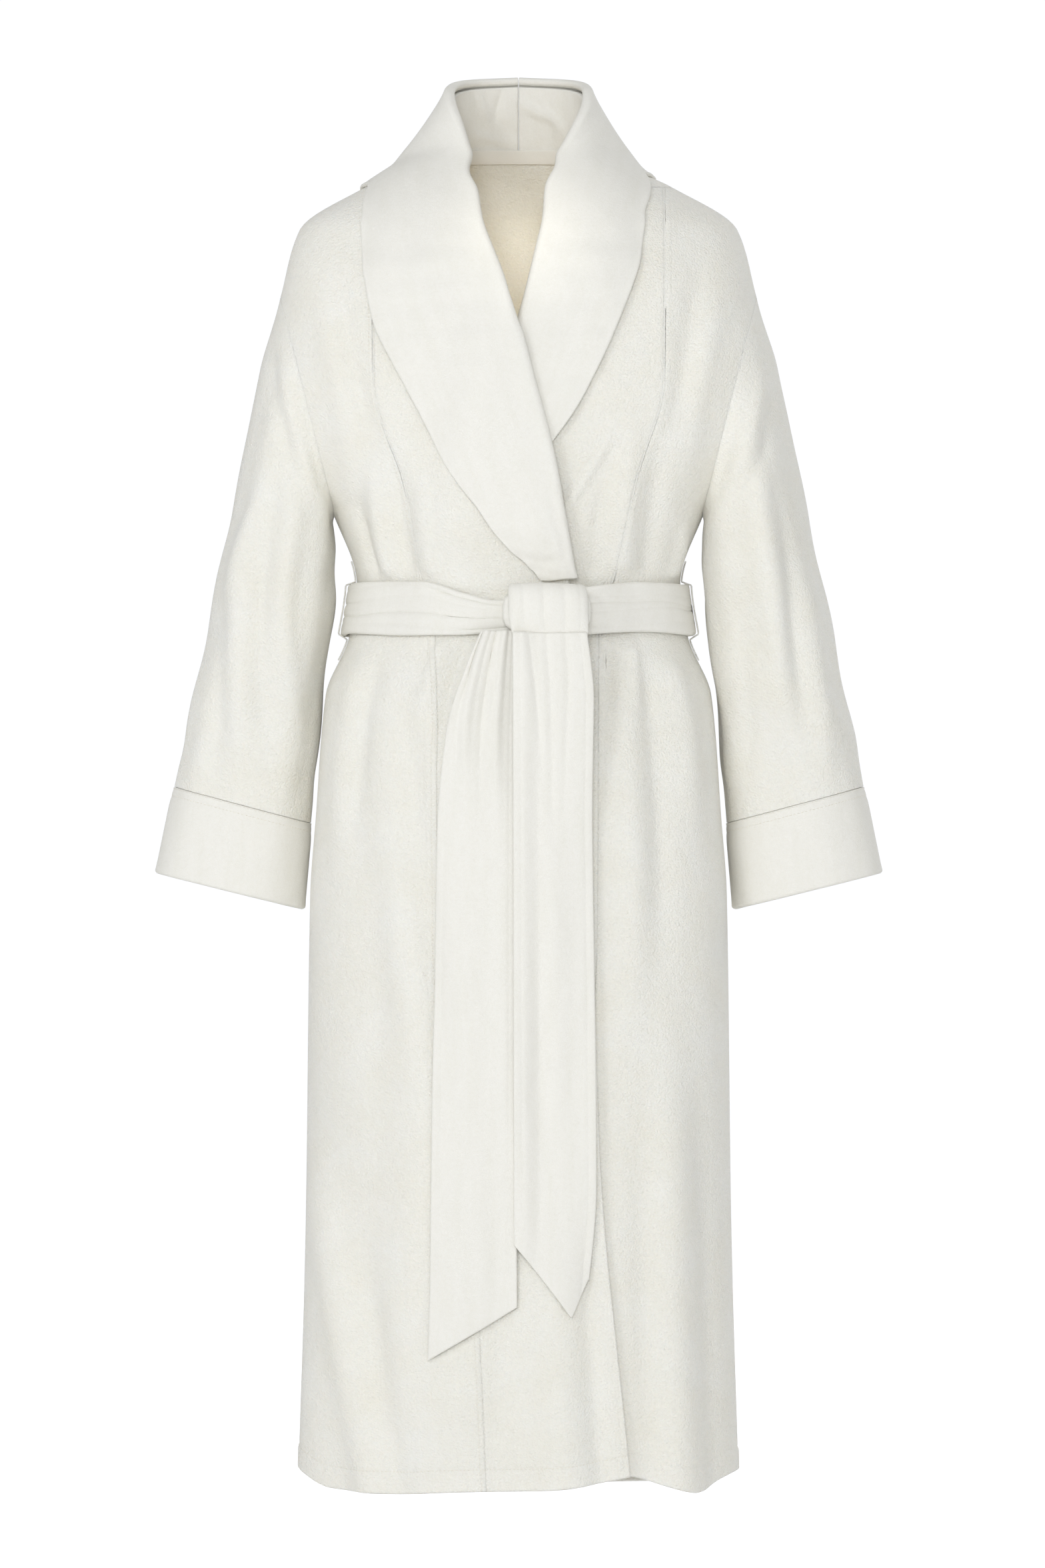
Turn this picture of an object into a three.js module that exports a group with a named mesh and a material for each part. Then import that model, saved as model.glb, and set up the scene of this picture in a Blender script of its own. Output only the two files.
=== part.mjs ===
// A long bathrobe with a shawl collar, tied at the waist with a sash, in the shape that it has on a wearer.
// Millimetres, +Z up. The robe faces -Y, and +X is the wearer's left. Inside this file heights are measured
// up from the hem; the last lines put the origin at the middle of the neck, level with the neck seam.
import * as THREE from "three";

// ---- driving dimensions ----
const robeLength = 1205; // hem to neck seam
const hemHalfWidth = 197;
const skirtHalfWidth = 190;
const hipHalfWidth = 181;
const pocketHalfWidth = 172;
const waistHalfWidth = 144;
const armpitHalfWidth = 167;
const dropHalfWidth = 213; // the dropped shoulder seam, over the upper arm
const shoulderHalfWidth = 196;
const collarbaseHalfWidth = 136;
const neckHalfWidth = 72;
const collarTopHalfWidth = 57;
const hipDepth = 124; // from the side seam to the front
const waistDepth = 102;
const chestDepth = 120;
const neckDepth = 50;
const backNeckDepth = 62;

const hipHeight = 605;
const pocketHeight = 716; // top of the pocket openings
const beltHeight = 792; // middle of the sash
const armpitHeight = 885;
const dropHeight = 1075;
const shoulderHeight = 1135;
const collarbaseHeight = 1174;
const collarHeight = 1272; // top of the collar, behind the neck
const collarBackEdge = 1151; // outer edge of the collar, behind
const crossingHeight = 1045; // where the two sides of the collar cross

const terry = 4; // thickness of the looped towelling
const facing = 2.6; // thickness of the smooth lining cloth
const collarCloth = 5; // the two cloths together, turned over in the collar
const seamGap = 0.5; // between two panels along a seam
const layerGap = 1.5; // between cloths that lie on each other

const armholeOpen = 0.55; // half the armhole's width, as an angle round the body
const sleeveSlant = 0.208; // how far the sleeve leans out for each millimetre down
const cuffLength = 78;
const cuffThickness = 7;

const beltWidth = 48; // as it is gathered round the waist
const beltThickness = 7;
const sashWidth = 71; // of a hanging end, flat
const sashThickness = 3.4;
const knotWidth = 74;
const knotHeight = 44;
const knotThickness = 26;
const rightTailDrop = 605; // knot to tip
const leftTailDrop = 648;

const pocketBagHeight = 170;
const pocketBagThickness = 5;
const tapeWidth = 12; // binding over the neck seam
const tapeThickness = 1.4;
const loopWidth = 40; // hanging loop
const loopDrop = 42;
const loopTapeWidth = 6;
const loopTapeThickness = 1.2;
const beltLoopWidth = 10;
const beltLoopThickness = 2;

// ---- materials ----
const towelling = new THREE.MeshStandardMaterial({ color: 0xf1f0ea, roughness: 1, metalness: 0 });
const velour = new THREE.MeshStandardMaterial({ color: 0xf4f3ee, roughness: 0.9, metalness: 0 });
const binding = new THREE.MeshStandardMaterial({ color: 0xefede4, roughness: 0.85, metalness: 0 });

// ---- small helpers ----
const lerp = THREE.MathUtils.lerp;
const smooth = (t) => THREE.MathUtils.smoothstep(t, 0, 1);
const signedPower = (value, power) => Math.sign(value) * Math.abs(value) ** power;
// `count` numbers evenly from one to another, leaving out the last.
const spread = (from, to, count) => Array.from({ length: count }, (_, i) => lerp(from, to, i / count));

// The value at `at` of a smooth curve through [position, value] pairs that are listed from low to high.
// Slopes are limited, so that the curve never passes beyond its points.
function through(pairs, at) {
  const last = pairs.length - 1;
  if (at <= pairs[0][0]) return pairs[0][1];
  if (at >= pairs[last][0]) return pairs[last][1];
  const rise = (i) => (pairs[i + 1][1] - pairs[i][1]) / (pairs[i + 1][0] - pairs[i][0]);
  const slope = (i) => {
    if (i === 0) return rise(0);
    if (i === last) return rise(last - 1);
    const [before, after] = [rise(i - 1), rise(i)];
    return before * after <= 0 ? 0 : (2 * before * after) / (before + after);
  };
  const i = pairs.findIndex((pair) => pair[0] > at) - 1;
  const span = pairs[i + 1][0] - pairs[i][0];
  const t = (at - pairs[i][0]) / span;
  return (
    pairs[i][1] * (1 + 2 * t) * (1 - t) ** 2 +
    slope(i) * span * t * (1 - t) ** 2 +
    pairs[i + 1][1] * t * t * (3 - 2 * t) +
    slope(i + 1) * span * t * t * (t - 1)
  );
}

// ---- the body that the cloth lies on ----
const beltTop = beltHeight + beltWidth / 2;
const beltBottom = beltHeight - beltWidth / 2;
const lowerHalfWidths = [
  [0, hemHalfWidth],
  [robeLength * 0.2, skirtHalfWidth],
  [hipHeight - 70, hipHalfWidth + 5],
  [hipHeight, hipHalfWidth],
  [pocketHeight, pocketHalfWidth],
  [beltBottom, waistHalfWidth + 7],
  [beltTop, waistHalfWidth],
  [armpitHeight, armpitHalfWidth],
];
const upperHalfWidths = [
  [dropHeight, dropHalfWidth],
  [shoulderHeight, shoulderHalfWidth],
  [collarbaseHeight, collarbaseHalfWidth],
  [robeLength, neckHalfWidth],
  [collarHeight, collarTopHalfWidth],
];
const frontDepths = [
  [0, hipDepth + 6],
  [hipHeight, hipDepth],
  [beltBottom, waistDepth + 4],
  [beltTop, waistDepth],
  [armpitHeight, chestDepth - 5],
  [armpitHeight + 95, chestDepth],
  [dropHeight, chestDepth - 7],
  [shoulderHeight, chestDepth - 28],
  [collarbaseHeight, neckDepth + 18],
  [robeLength, neckDepth],
  [collarHeight, neckDepth - 8],
];
const backDepths = [
  [0, hipDepth + 12],
  [hipHeight, hipDepth + 9],
  [beltBottom, waistDepth + 1],
  [beltTop, waistDepth - 7],
  [armpitHeight, chestDepth - 17],
  [armpitHeight + 95, chestDepth - 12],
  [dropHeight, chestDepth - 12],
  [shoulderHeight, chestDepth - 24],
  [collarbaseHeight, backNeckDepth + 18],
  [robeLength, backNeckDepth],
  [collarHeight, backNeckDepth - 8],
];
// Where the side seam lies from front to back: forward at the skirt, back at the neck.
const sideSeamY = [
  [0, -10],
  [hipHeight, -10],
  [armpitHeight, 0],
  [dropHeight, 2],
  [robeLength, 14],
];
const squareness = 2.3; // of a level section: 2 is an ellipse, and more is fuller at the corners
const power = 2 / squareness;

// The armhole lies on a plane that slants from the armpit up to the dropped shoulder seam.
const armholeShare = (height) => (height - armpitHeight) / (dropHeight - armpitHeight);
const armholeX = (height) => lerp(armpitHalfWidth, dropHalfWidth, armholeShare(height));
function armholeAngle(height) {
  const share = armholeShare(height);
  return share <= 0 || share >= 1 ? 0 : armholeOpen * Math.sqrt(4 * share * (1 - share));
}

function halfWidth(height) {
  if (height <= armpitHeight) return through(lowerHalfWidths, height);
  if (height >= dropHeight) return through(upperHalfWidths, height);
  return armholeX(height) / Math.cos(armholeAngle(height)) ** power;
}

// A point on the body at a height. Angle 0 is the wearer's left side seam, 90 degrees the middle of the
// front, 180 degrees the right side seam and 270 degrees the middle of the back.
function onBody(height, angle) {
  const depth = through(Math.sin(angle) > 0 ? frontDepths : backDepths, height);
  return new THREE.Vector3(
    halfWidth(height) * signedPower(Math.cos(angle), power),
    through(sideSeamY, height) - depth * signedPower(Math.sin(angle), power),
    height,
  );
}

// The point `out` off a surface, at right angles to it. The surface is a function of two numbers.
function lifted(surface, u, v, out, stepU, stepV) {
  const along = surface(u + stepU, v).sub(surface(u - stepU, v));
  const up = surface(u, v + stepV).sub(surface(u, v - stepV));
  return surface(u, v).addScaledVector(along.cross(up).normalize(), out);
}
const offBody = (height, angle, out) => lifted((a, h) => onBody(h, -a), -angle, height, out, 0.02, 5);

// The angle at which the front of the body is `x` from the middle.
function angleAt(height, x) {
  const share = THREE.MathUtils.clamp(x / halfWidth(height), -1, 1);
  return Math.acos(signedPower(share, 1 / power));
}

// The angle past the side seam, or past the armhole, that keeps half a seam's gap.
function sideAngle(height) {
  const gap = (seamGap / 2 / through(frontDepths, height)) ** (1 / power);
  return Math.max(armholeAngle(height), gap);
}

// ---- lines on the cloth, as [height, x] ----
const mirrored = (line) => line.map(([height, x]) => [height, -x]);
// The free edge of each front from the hem up to the sash, and from there the line where it rolls over.
const rightEdge = [
  [0, 98],
  [robeLength * 0.27, 70],
  [beltBottom, 60],
  [beltTop, 49],
  [armpitHeight, 37],
  [crossingHeight - 45, 12],
  [crossingHeight, -1],
  [crossingHeight + 80, -29],
  [robeLength, -46],
];
const leftEdge = [
  [0, -98],
  [robeLength * 0.27, -70],
  [beltBottom, -60],
  [beltTop, -50],
  [armpitHeight, -40],
  [crossingHeight - 45, -14],
  [crossingHeight, -2],
  [crossingHeight + 85, 21],
  [robeLength, 37],
];
// The seam between each front panel and its band.
const leftBandSeam = [
  [0, 28],
  [150, 34],
  [hipHeight - 100, 70],
  [beltBottom, 71],
  [beltTop, 82],
  [armpitHeight + 15, 100],
  [crossingHeight - 45, 129],
  [collarbaseHeight, 130],
];
const rightBandSeam = mirrored(leftBandSeam);

// ---- how far out the layers lie ----
const overlapOut = terry + facing + 2 * layerGap + 0.3; // the right front over the left
const lapelOut = terry / 2 + collarCloth / 2 + layerGap; // a lapel over its own front
const lapelRest = 1.2; // how far a lapel stands off the front below it
const chestOut = 2 * lapelOut + lapelRest + seamGap; // the right front over the left lapel

// The right front rises where the left front lies under it, and rises more over the left lapel.
function rightOut(height, x) {
  const over = smooth((x - through(leftEdge, height) + 60) / 50);
  const chest = smooth((height - beltTop + 12) / 12);
  const above = smooth((height - crossingHeight - 25) / 70);
  return over * lerp(overlapOut, chestOut, chest) * (1 - above);
}
const flat = () => 0;

// ---- solids from sheets of cloth ----
// Turns the faces of a closed body round if they point inwards.
function facingOut(geometry) {
  const at = geometry.attributes.position;
  const faces = geometry.index.array;
  const [a, b, c] = [new THREE.Vector3(), new THREE.Vector3(), new THREE.Vector3()];
  let volume = 0;
  for (let i = 0; i < faces.length; i += 3) {
    a.fromBufferAttribute(at, faces[i]);
    b.fromBufferAttribute(at, faces[i + 1]);
    c.fromBufferAttribute(at, faces[i + 2]);
    volume += a.dot(b.cross(c));
  }
  if (volume < 0) faces.reverse();
  geometry.computeVertexNormals();
  return geometry;
}

function mirrorX(geometry) {
  return facingOut(geometry.clone().scale(-1, 1, 1));
}

// Closes rows of [outer, inner] points into one solid. A round sheet joins its last column to its first.
function clothSolid(rows, round = false) {
  const [height, width] = [rows.length, rows[0].length];
  const index = (row, column, inner) => 2 * (row * width + (column % width)) + inner;
  const faces = [];
  const quad = (a, b, c, d) => faces.push(a, b, c, a, c, d);
  // A strip between two neighbouring corners, from the outer points to the inner ones.
  const rim = (from, to) => quad(index(...from, 1), index(...to, 1), index(...to, 0), index(...from, 0));
  for (let column = 0; column < (round ? width : width - 1); column++) {
    for (let row = 0; row < height - 1; row++) {
      const corners = [[row, column], [row, column + 1], [row + 1, column + 1], [row + 1, column]];
      quad(...corners.map((corner) => index(...corner, 0)));
      quad(...corners.map((corner) => index(...corner, 1)).reverse());
    }
    rim([0, column], [0, column + 1]);
    rim([height - 1, column + 1], [height - 1, column]);
  }
  for (let row = 0; row < height - 1 && !round; row++) {
    rim([row + 1, 0], [row, 0]);
    rim([row, width - 1], [row + 1, width - 1]);
  }
  const points = rows.flat(2);
  return facingOut(new THREE.BufferGeometry().setFromPoints(points).setIndex(faces));
}

// The outer and inner points of cloth of some thickness, whose middle is `out` off the body.
const cloth = (height, angle, out, thickness) => [
  offBody(height, angle, out + thickness / 2),
  offBody(height, angle, out - thickness / 2),
];

const robe = new THREE.Group();
function add(name, geometry, material) {
  const mesh = new THREE.Mesh(geometry, material);
  mesh.name = name;
  robe.add(mesh);
}

// ---- body panels ----
const neckSeamLow = robeLength - seamGap / 2;
const frontTop = collarbaseHeight - 2;
const rows = [
  ...spread(0, hipHeight - 70, 4),
  ...spread(hipHeight - 70, beltBottom, 6),
  ...spread(beltBottom, beltTop, 4),
  ...spread(beltTop, armpitHeight, 3),
  ...spread(armpitHeight, dropHeight, 6),
  ...spread(dropHeight, frontTop, 5),
  ...spread(frontTop, neckSeamLow, 2),
  neckSeamLow,
];

// One panel, from one angle to another at each height. Both angles are functions of the height.
function bodyPanel(heights, columns, from, to, out, thickness) {
  return clothSolid(
    heights.map((height) =>
      [...spread(from(height), to(height), columns), to(height)].map((angle) =>
        cloth(height, angle, out(height, onBody(height, angle).x), thickness),
      ),
    ),
  );
}

const backSide = (height) => 2 * Math.PI - sideAngle(height);
const otherBackSide = (height) => Math.PI + sideAngle(height);
add("back_panel", bodyPanel(rows, 14, otherBackSide, backSide, flat, terry), towelling);

const leftSide = (height) => sideAngle(height);
const rightSide = (height) => Math.PI - sideAngle(height);
// A line as an angle, moved sideways.
const lineAngle = (line, shift) => (height) => angleAt(height, through(line, height) + shift);

const bodyRows = rows.filter((height) => height < frontTop);
const frontRows = [...bodyRows, frontTop - seamGap];
const leftSeamOut = lineAngle(leftBandSeam, seamGap / 2);
const rightSeamOut = lineAngle(rightBandSeam, -seamGap / 2);
add("left_front_panel", bodyPanel(frontRows, 8, leftSide, leftSeamOut, flat, terry), towelling);
add("right_front_panel", bodyPanel(frontRows, 8, rightSide, rightSeamOut, rightOut, terry), towelling);

// Above the top of the front panel the band reaches to the shoulder seam.
const bandRows = [...bodyRows, frontTop, frontTop + seamGap, ...rows.filter((height) => height > frontTop)];
function bandSide(seamAngle, side) {
  return (height) => (height <= frontTop ? seamAngle(height) : side(height));
}
const rollRadius = lapelOut / 2; // of the cloth where the collar turns over
const rollShift = rollRadius + collarCloth / 2 + seamGap;
// The band stops short of the roll above the sash, where the collar begins.
function bandEdge(line, sign) {
  return (height) => {
    const nearNeck = 2 * smooth((height - shoulderHeight - 15) / 25);
    const short = (rollShift + nearNeck) * smooth((height - beltTop + 10) / 10);
    return angleAt(height, through(line, height) - sign * short);
  };
}
const leftBandSide = bandSide(lineAngle(leftBandSeam, -seamGap / 2), leftSide);
const rightBandSide = bandSide(lineAngle(rightBandSeam, seamGap / 2), rightSide);
const leftBandEdge = bandEdge(leftEdge, -1);
const rightBandEdge = bandEdge(rightEdge, 1);
add("left_front_band", bodyPanel(bandRows, 6, leftBandSide, leftBandEdge, flat, terry), towelling);
add("right_front_band", bodyPanel(bandRows, 6, rightBandSide, rightBandEdge, rightOut, terry), towelling);

// The smooth cloth that lines each band below the sash.
const facingRows = rows.filter((height) => height < beltTop);
const facingDrop = terry / 2 + facing / 2 + seamGap + 0.5;
const underLeft = () => -facingDrop;
const underRight = (height, x) => rightOut(height, x) - facingDrop;
const leftFacing = bodyPanel(facingRows, 6, leftBandSide, leftBandEdge, underLeft, facing);
const rightFacing = bodyPanel(facingRows, 6, rightBandSide, rightBandEdge, underRight, facing);
add("left_front_facing", leftFacing, velour);
add("right_front_facing", rightFacing, velour);

// ---- pockets: flat bags inside the fronts, sewn into the side seams ----
const pocketRows = spread(pocketHeight - pocketBagHeight, pocketHeight + pocketBagHeight / 6, 6);
const pocketOut = -(terry / 2 + layerGap + 0.5 + pocketBagThickness / 2);
const pocketInner = (height) => angleAt(height, lerp(96, 112, smooth((height - pocketHeight + 120) / 120)));
const leftBag = bodyPanel(pocketRows, 6, () => 0.05, pocketInner, () => pocketOut, pocketBagThickness);
add("left_pocket_bag", leftBag, towelling);
add("right_pocket_bag", mirrorX(leftBag), towelling);

// ---- collar ----
const half = Math.PI;
const back = Math.PI * 1.5;
// Each row is [height, x] of the roll and [height, x] of the outer edge, from the sash up to the shoulder.
const rightLapel = [
  [beltTop + 4, 48, beltTop + 1, 20],
  [armpitHeight - 34, 43, armpitHeight - 48, 6],
  [armpitHeight, 37, armpitHeight - 17, -23],
  [armpitHeight + 58, 27, armpitHeight + 36, -62],
  [crossingHeight - 45, 12, crossingHeight - 74, -89],
  [crossingHeight, -1, crossingHeight - 33, -111],
  [crossingHeight + 40, -14, crossingHeight - 1, -127],
  [crossingHeight + 81, -29, crossingHeight + 43, -137],
  [crossingHeight + 121, -38, crossingHeight + 98, -140],
  [robeLength - 9, -44, collarbaseHeight - 1, -135],
];
const leftLapel = [
  [beltTop + 4, -50, beltTop + 1, -26],
  [armpitHeight - 34, -46, armpitHeight - 46, -16],
  [armpitHeight, -40, armpitHeight - 19, -8],
  [armpitHeight + 58, -28, armpitHeight + 36, 16],
  [crossingHeight - 45, -14, crossingHeight - 71, 52],
  [crossingHeight, -2, crossingHeight - 31, 73],
  [crossingHeight + 40, 10, crossingHeight + 8, 90],
  [crossingHeight + 85, 21, crossingHeight + 50, 106],
  [crossingHeight + 126, 26, crossingHeight + 100, 113],
  [robeLength - 9, 35, collarbaseHeight + 9, 113],
];
// From the shoulder round to the middle of the back. Each row is [height, angle] of the roll, how far round
// the outer edge has come from its height on the shoulder to its height behind, and the edge's angle. These
// angles suit the right side.
const aroundNeck = [
  [robeLength + 32, half - 0.58, 0.2, half + 0.3],
  [collarHeight - 10, half + 0.1, 0.5, half + 0.75],
  [collarHeight - 3, half + 0.75, 0.8, half + 1.1],
  [collarHeight, back - 0.005, 1, back - 0.003],
];
function collarStations(lapel, side, shoulderEdge) {
  const edgeHeight = (round) => lerp(shoulderEdge, collarBackEdge, round);
  return [
    ...lapel.map(([h, x, edge, edgeX]) => [h, angleAt(h, x), edge, angleAt(edge, edgeX)]),
    ...aroundNeck.map(([h, a, round, edgeA]) => [h, side(a), edgeHeight(round), side(edgeA)]),
  ];
}
const rightStations = collarStations(rightLapel, (angle) => angle, collarbaseHeight - 1);
const leftStations = collarStations(leftLapel, (angle) => half - angle, collarbaseHeight + 11);

// Where the collar's cloth lies as it turns over: pairs of the distance from the roll towards the outer
// edge and the height over the front, both in roll radii.
const turn = [[1, 0], [0.3, 0.3], [0, 1], [0.3, 1.7], [1, 2]];
const acrossCollar = 6;

// How far the collar stands off the hollow between the neck and the shoulder, by how far round it has come.
const overHollow = [
  [8.6, 0],
  [10.4, 22],
  [11.4, 17],
  [13, 9],
];
// One row of the collar, from the turned edge to the outer edge, as points on the middle of the cloth.
function collarRow(roll, edge, out, lift, hollow) {
  const width = onBody(...roll).distanceTo(onBody(...edge));
  const start = rollRadius / width;
  const across = [
    ...turn.map(([distance, rise]) => [distance * start, rise * rollRadius]),
    ...spread(start, 1, acrossCollar).slice(1).map((share) => [share, lapelOut]),
    [1, lapelOut],
  ];
  return across.map(([share, rise]) => {
    const height = lerp(roll[0], edge[0], share);
    const angle = lerp(roll[1], edge[1], share);
    const total = out(height, onBody(height, angle).x) + rise + lift * smooth(share * 2);
    return offBody(height, angle, total + hollow * Math.sin(Math.PI * share));
  });
}

// Gives rows of points on the middle of a cloth a thickness at right angles to it.
function thickened(rows, thickness) {
  const at = (row, column) => rows[Math.min(Math.max(row, 0), rows.length - 1)][column];
  return rows.map((row, i) =>
    row.map((point, k) => {
      const before = row[Math.max(k - 1, 0)];
      const after = row[Math.min(k + 1, row.length - 1)];
      const along = after.clone().sub(before);
      const up = at(i + 1, k).clone().sub(at(i - 1, k));
      const normal = along.cross(up).normalize().multiplyScalar(thickness / 2);
      return [point.clone().add(normal), point.clone().sub(normal)];
    }),
  );
}

function collarHalf(stations, out) {
  const last = stations.length - 1;
  const column = (k) => stations.map((station, i) => [i, station[k]]);
  const [rollHeight, rollAngle, edgeHeight, edgeAngle] = [0, 1, 2, 3].map(column);
  const positions = [...spread(0, last, 2 * last), last];
  const rows = positions.map((at) => {
    const roll = [through(rollHeight, at), through(rollAngle, at)];
    const edge = [through(edgeHeight, at), through(edgeAngle, at)];
    // The collar stands off the shoulder a little, and more behind the neck.
    const lift = lapelRest + 0.6 * smooth((at - 6) / 2) + 2.5 * smooth((at - 9) / 3);
    return collarRow(roll, edge, out, lift, through(overHollow, at));
  });
  return clothSolid(thickened(rows, collarCloth));
}
add("right_collar", collarHalf(rightStations, rightOut), velour);
add("left_collar", collarHalf(leftStations, flat), velour);

// The stand rises from the neck seam to the roll.
const standTop = [
  [half - 0.93, robeLength],
  [half - 0.82, robeLength + 11],
  [half - 0.58, robeLength + 32],
  [half + 0.1, collarHeight - 10],
  [half + 0.75, collarHeight - 3],
  [back, collarHeight],
];
const standLow = robeLength + seamGap / 2;
function standHalf() {
  const angles = [...spread(half - 0.62, back - 0.006, 12), back - 0.006];
  return clothSolid(
    [0, 0.25, 0.5, 0.75, 1].map((share) =>
      angles.map((angle) => {
        const height = lerp(standLow, through(standTop, angle - 0.1) - rollShift - 2.8, share);
        return cloth(height, angle, 0, collarCloth);
      }),
    ),
  );
}
add("right_collar_stand", standHalf(), velour);
add("left_collar_stand", mirrorX(standHalf()), velour);

// ---- neck tape and hanging loop ----
const tapeOut = -(collarCloth / 2 + seamGap + tapeThickness / 2);
const tapeRows = [robeLength - tapeWidth / 2, robeLength, robeLength + tapeWidth / 2];
const tape = bodyPanel(tapeRows, 12, () => half + 0.25, () => 2 * half - 0.25, () => tapeOut, tapeThickness);
add("neck_tape", tape, binding);

const loopOut = terry / 2 + seamGap + 0.8 + loopTapeThickness / 2;
// A narrow tape that hangs in a U from the back of the neck seam, flat on the back panel.
function hangingLoop() {
  const radius = loopWidth / 2;
  const top = robeLength - 3;
  const bend = top - loopDrop + radius;
  const path = [
    ...spread(top, bend, 2).map((height) => [-radius, height]),
    ...spread(0, Math.PI, 8).map((turned) => [-radius * Math.cos(turned), bend - radius * Math.sin(turned)]),
    ...[...spread(bend, top, 2), top].map((height) => [radius, height]),
  ];
  return clothSolid(
    path.map(([x, height], i) => {
      const before = path[Math.max(i - 1, 0)];
      const after = path[Math.min(i + 1, path.length - 1)];
      const reach = loopTapeWidth / 2 / Math.hypot(after[0] - before[0], after[1] - before[1]);
      return [-reach, reach].map((side) => {
        const sideX = x + side * (after[1] - before[1]);
        const sideHeight = height - side * (after[0] - before[0]);
        return cloth(sideHeight, 2 * half - angleAt(sideHeight, sideX), loopOut, loopTapeThickness);
      });
    }),
  );
}
add("hanging_loop", hangingLoop(), binding);

// ---- sleeves ----
// Each pair is the share of the way down the sleeve and a height, along the upper arm and the under arm.
const overHeights = [
  [0, dropHeight],
  [0.06, dropHeight - 33],
  [0.14, dropHeight - 75],
  [0.24, dropHeight - 125],
  [0.36, dropHeight - 182],
  [0.5, dropHeight - 245],
  [0.66, dropHeight - 315],
  [0.82, dropHeight - 378],
  [1, dropHeight - 441],
];
const underHeights = [
  [0, armpitHeight],
  [0.06, armpitHeight - 7],
  [0.14, armpitHeight - 16],
  [0.24, armpitHeight - 29],
  [0.36, armpitHeight - 49],
  [0.5, armpitHeight - 85],
  [0.66, armpitHeight - 147],
  [0.82, armpitHeight - 213],
  [1, armpitHeight - 283],
];
const underX = [
  [hipHeight - 79, hipHalfWidth + 11],
  [hipHeight, hipHalfWidth + 4],
  [pocketHeight - 44, pocketHalfWidth + 7],
  [pocketHeight, pocketHalfWidth + 2],
  [beltBottom, armpitHalfWidth + 1],
  [beltTop, armpitHalfWidth - 4],
  [armpitHeight - 35, armpitHalfWidth - 4],
  [armpitHeight, armpitHalfWidth],
];
const sleeveDepths = [
  [0, 64],
  [0.3, 70],
  [0.55, 66],
  [1, 44],
  [1.2, 43],
];
const sleeveY = [
  [0, 1],
  [1.2, 12],
];
// The sleeve stands clear of the armhole's plane, so that it can swing out.
const sleeveClear = terry + 0.6;
const planeTilt = Math.atan2(dropHalfWidth - armpitHalfWidth, dropHeight - armpitHeight);

// Past its lower end the sleeve's lines run straight on into the cuff.
function along(heights, share) {
  return share <= 1 ? through(heights, share) : through(heights, 1) - (share - 1) * 5 * cuffLength;
}

// A point of the left sleeve. Angle 0 is the top of the arm, and 90 degrees is the front.
function onSleeve(angle, share) {
  const [overHeight, underHeight] = [along(overHeights, share), along(underHeights, share)];
  const overX = dropHalfWidth + (dropHeight - overHeight) * sleeveSlant;
  const level = (1 + Math.cos(angle)) / 2;
  const height = lerp(underHeight, overHeight, level);
  const tubeY = through(sleeveY, share) - through(sleeveDepths, share) * Math.sin(angle);
  const joined = 1 - smooth(share / 0.3);
  const depth = through(Math.sin(angle) > 0 ? frontDepths : backDepths, height);
  const opening = Math.sin(armholeOpen * Math.abs(Math.sin(angle))) ** power;
  const holeY = through(sideSeamY, height) - Math.sign(Math.sin(angle)) * depth * opening;
  return new THREE.Vector3(
    lerp(through(underX, underHeight), overX, level) + sleeveClear * Math.cos(planeTilt),
    lerp(tubeY, holeY, joined),
    height - sleeveClear * Math.sin(planeTilt),
  );
}

function sleevePiece(shares, thickness, out) {
  return clothSolid(
    shares.map((share) =>
      spread(0, 2 * Math.PI, 20).map((angle) => [
        lifted(onSleeve, angle, share, out + thickness / 2, 0.05, 0.01),
        lifted(onSleeve, angle, share, out - thickness / 2, 0.05, 0.01),
      ]),
    ),
    true,
  );
}
const sleeve = sleevePiece([0, 0.04, 0.09, 0.16, 0.25, 0.37, 0.5, 0.64, 0.82, 1], terry, 0);
const cuffTop = 1 + seamGap / 5 / cuffLength;
const cuff = sleevePiece([cuffTop, 1.1, 1.2], cuffThickness, (cuffThickness - terry) / 2 - 0.5);
add("left_sleeve", sleeve, towelling);
add("right_sleeve", mirrorX(sleeve), towelling);
add("left_cuff", cuff, velour);
add("right_cuff", mirrorX(cuff), velour);

// ---- sash ----
// How far out the cloth under the sash lies. Past the edge of the right front the sash comes back in.
function underBelt(height, x) {
  return rightOut(height, x) * (1 - smooth((x - through(rightEdge, height) - 6) / 45));
}
const beltOut = terry / 2 + layerGap + 0.4 + beltThickness / 2;
function beltWrap() {
  const heights = [...spread(beltBottom, beltTop, 4), beltTop];
  return clothSolid(
    heights.map((height) =>
      spread(0, 2 * Math.PI, 32).map((angle) => {
        const under = Math.sin(angle) > 0 ? underBelt(height, onBody(height, angle).x) : 0;
        return cloth(height, angle, under + beltOut, beltThickness);
      }),
    ),
    true,
  );
}
add("belt_wrap", beltWrap(), velour);

const knotX = 26;
const knotBase = overlapOut + beltOut + beltThickness / 2 + 2.5;
// A soft block that follows the sash behind it.
function beltKnot() {
  const ball = new THREE.SphereGeometry(1, 20, 12).rotateX(Math.PI / 2);
  const at = ball.attributes.position;
  for (let i = 0; i < at.count; i++) {
    const [a, b, c] = [at.getX(i), at.getY(i), at.getZ(i)].map((value) => signedPower(value, 0.55));
    const angle = angleAt(beltHeight, knotX + (a * knotWidth) / 2);
    const point = offBody(beltHeight, angle, knotBase + ((1 + c) * knotThickness) / 2);
    at.setXYZ(i, point.x, point.y, beltHeight - 1 + (b * knotHeight) / 2);
  }
  return facingOut(ball);
}
add("belt_knot", beltKnot(), velour);

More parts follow.
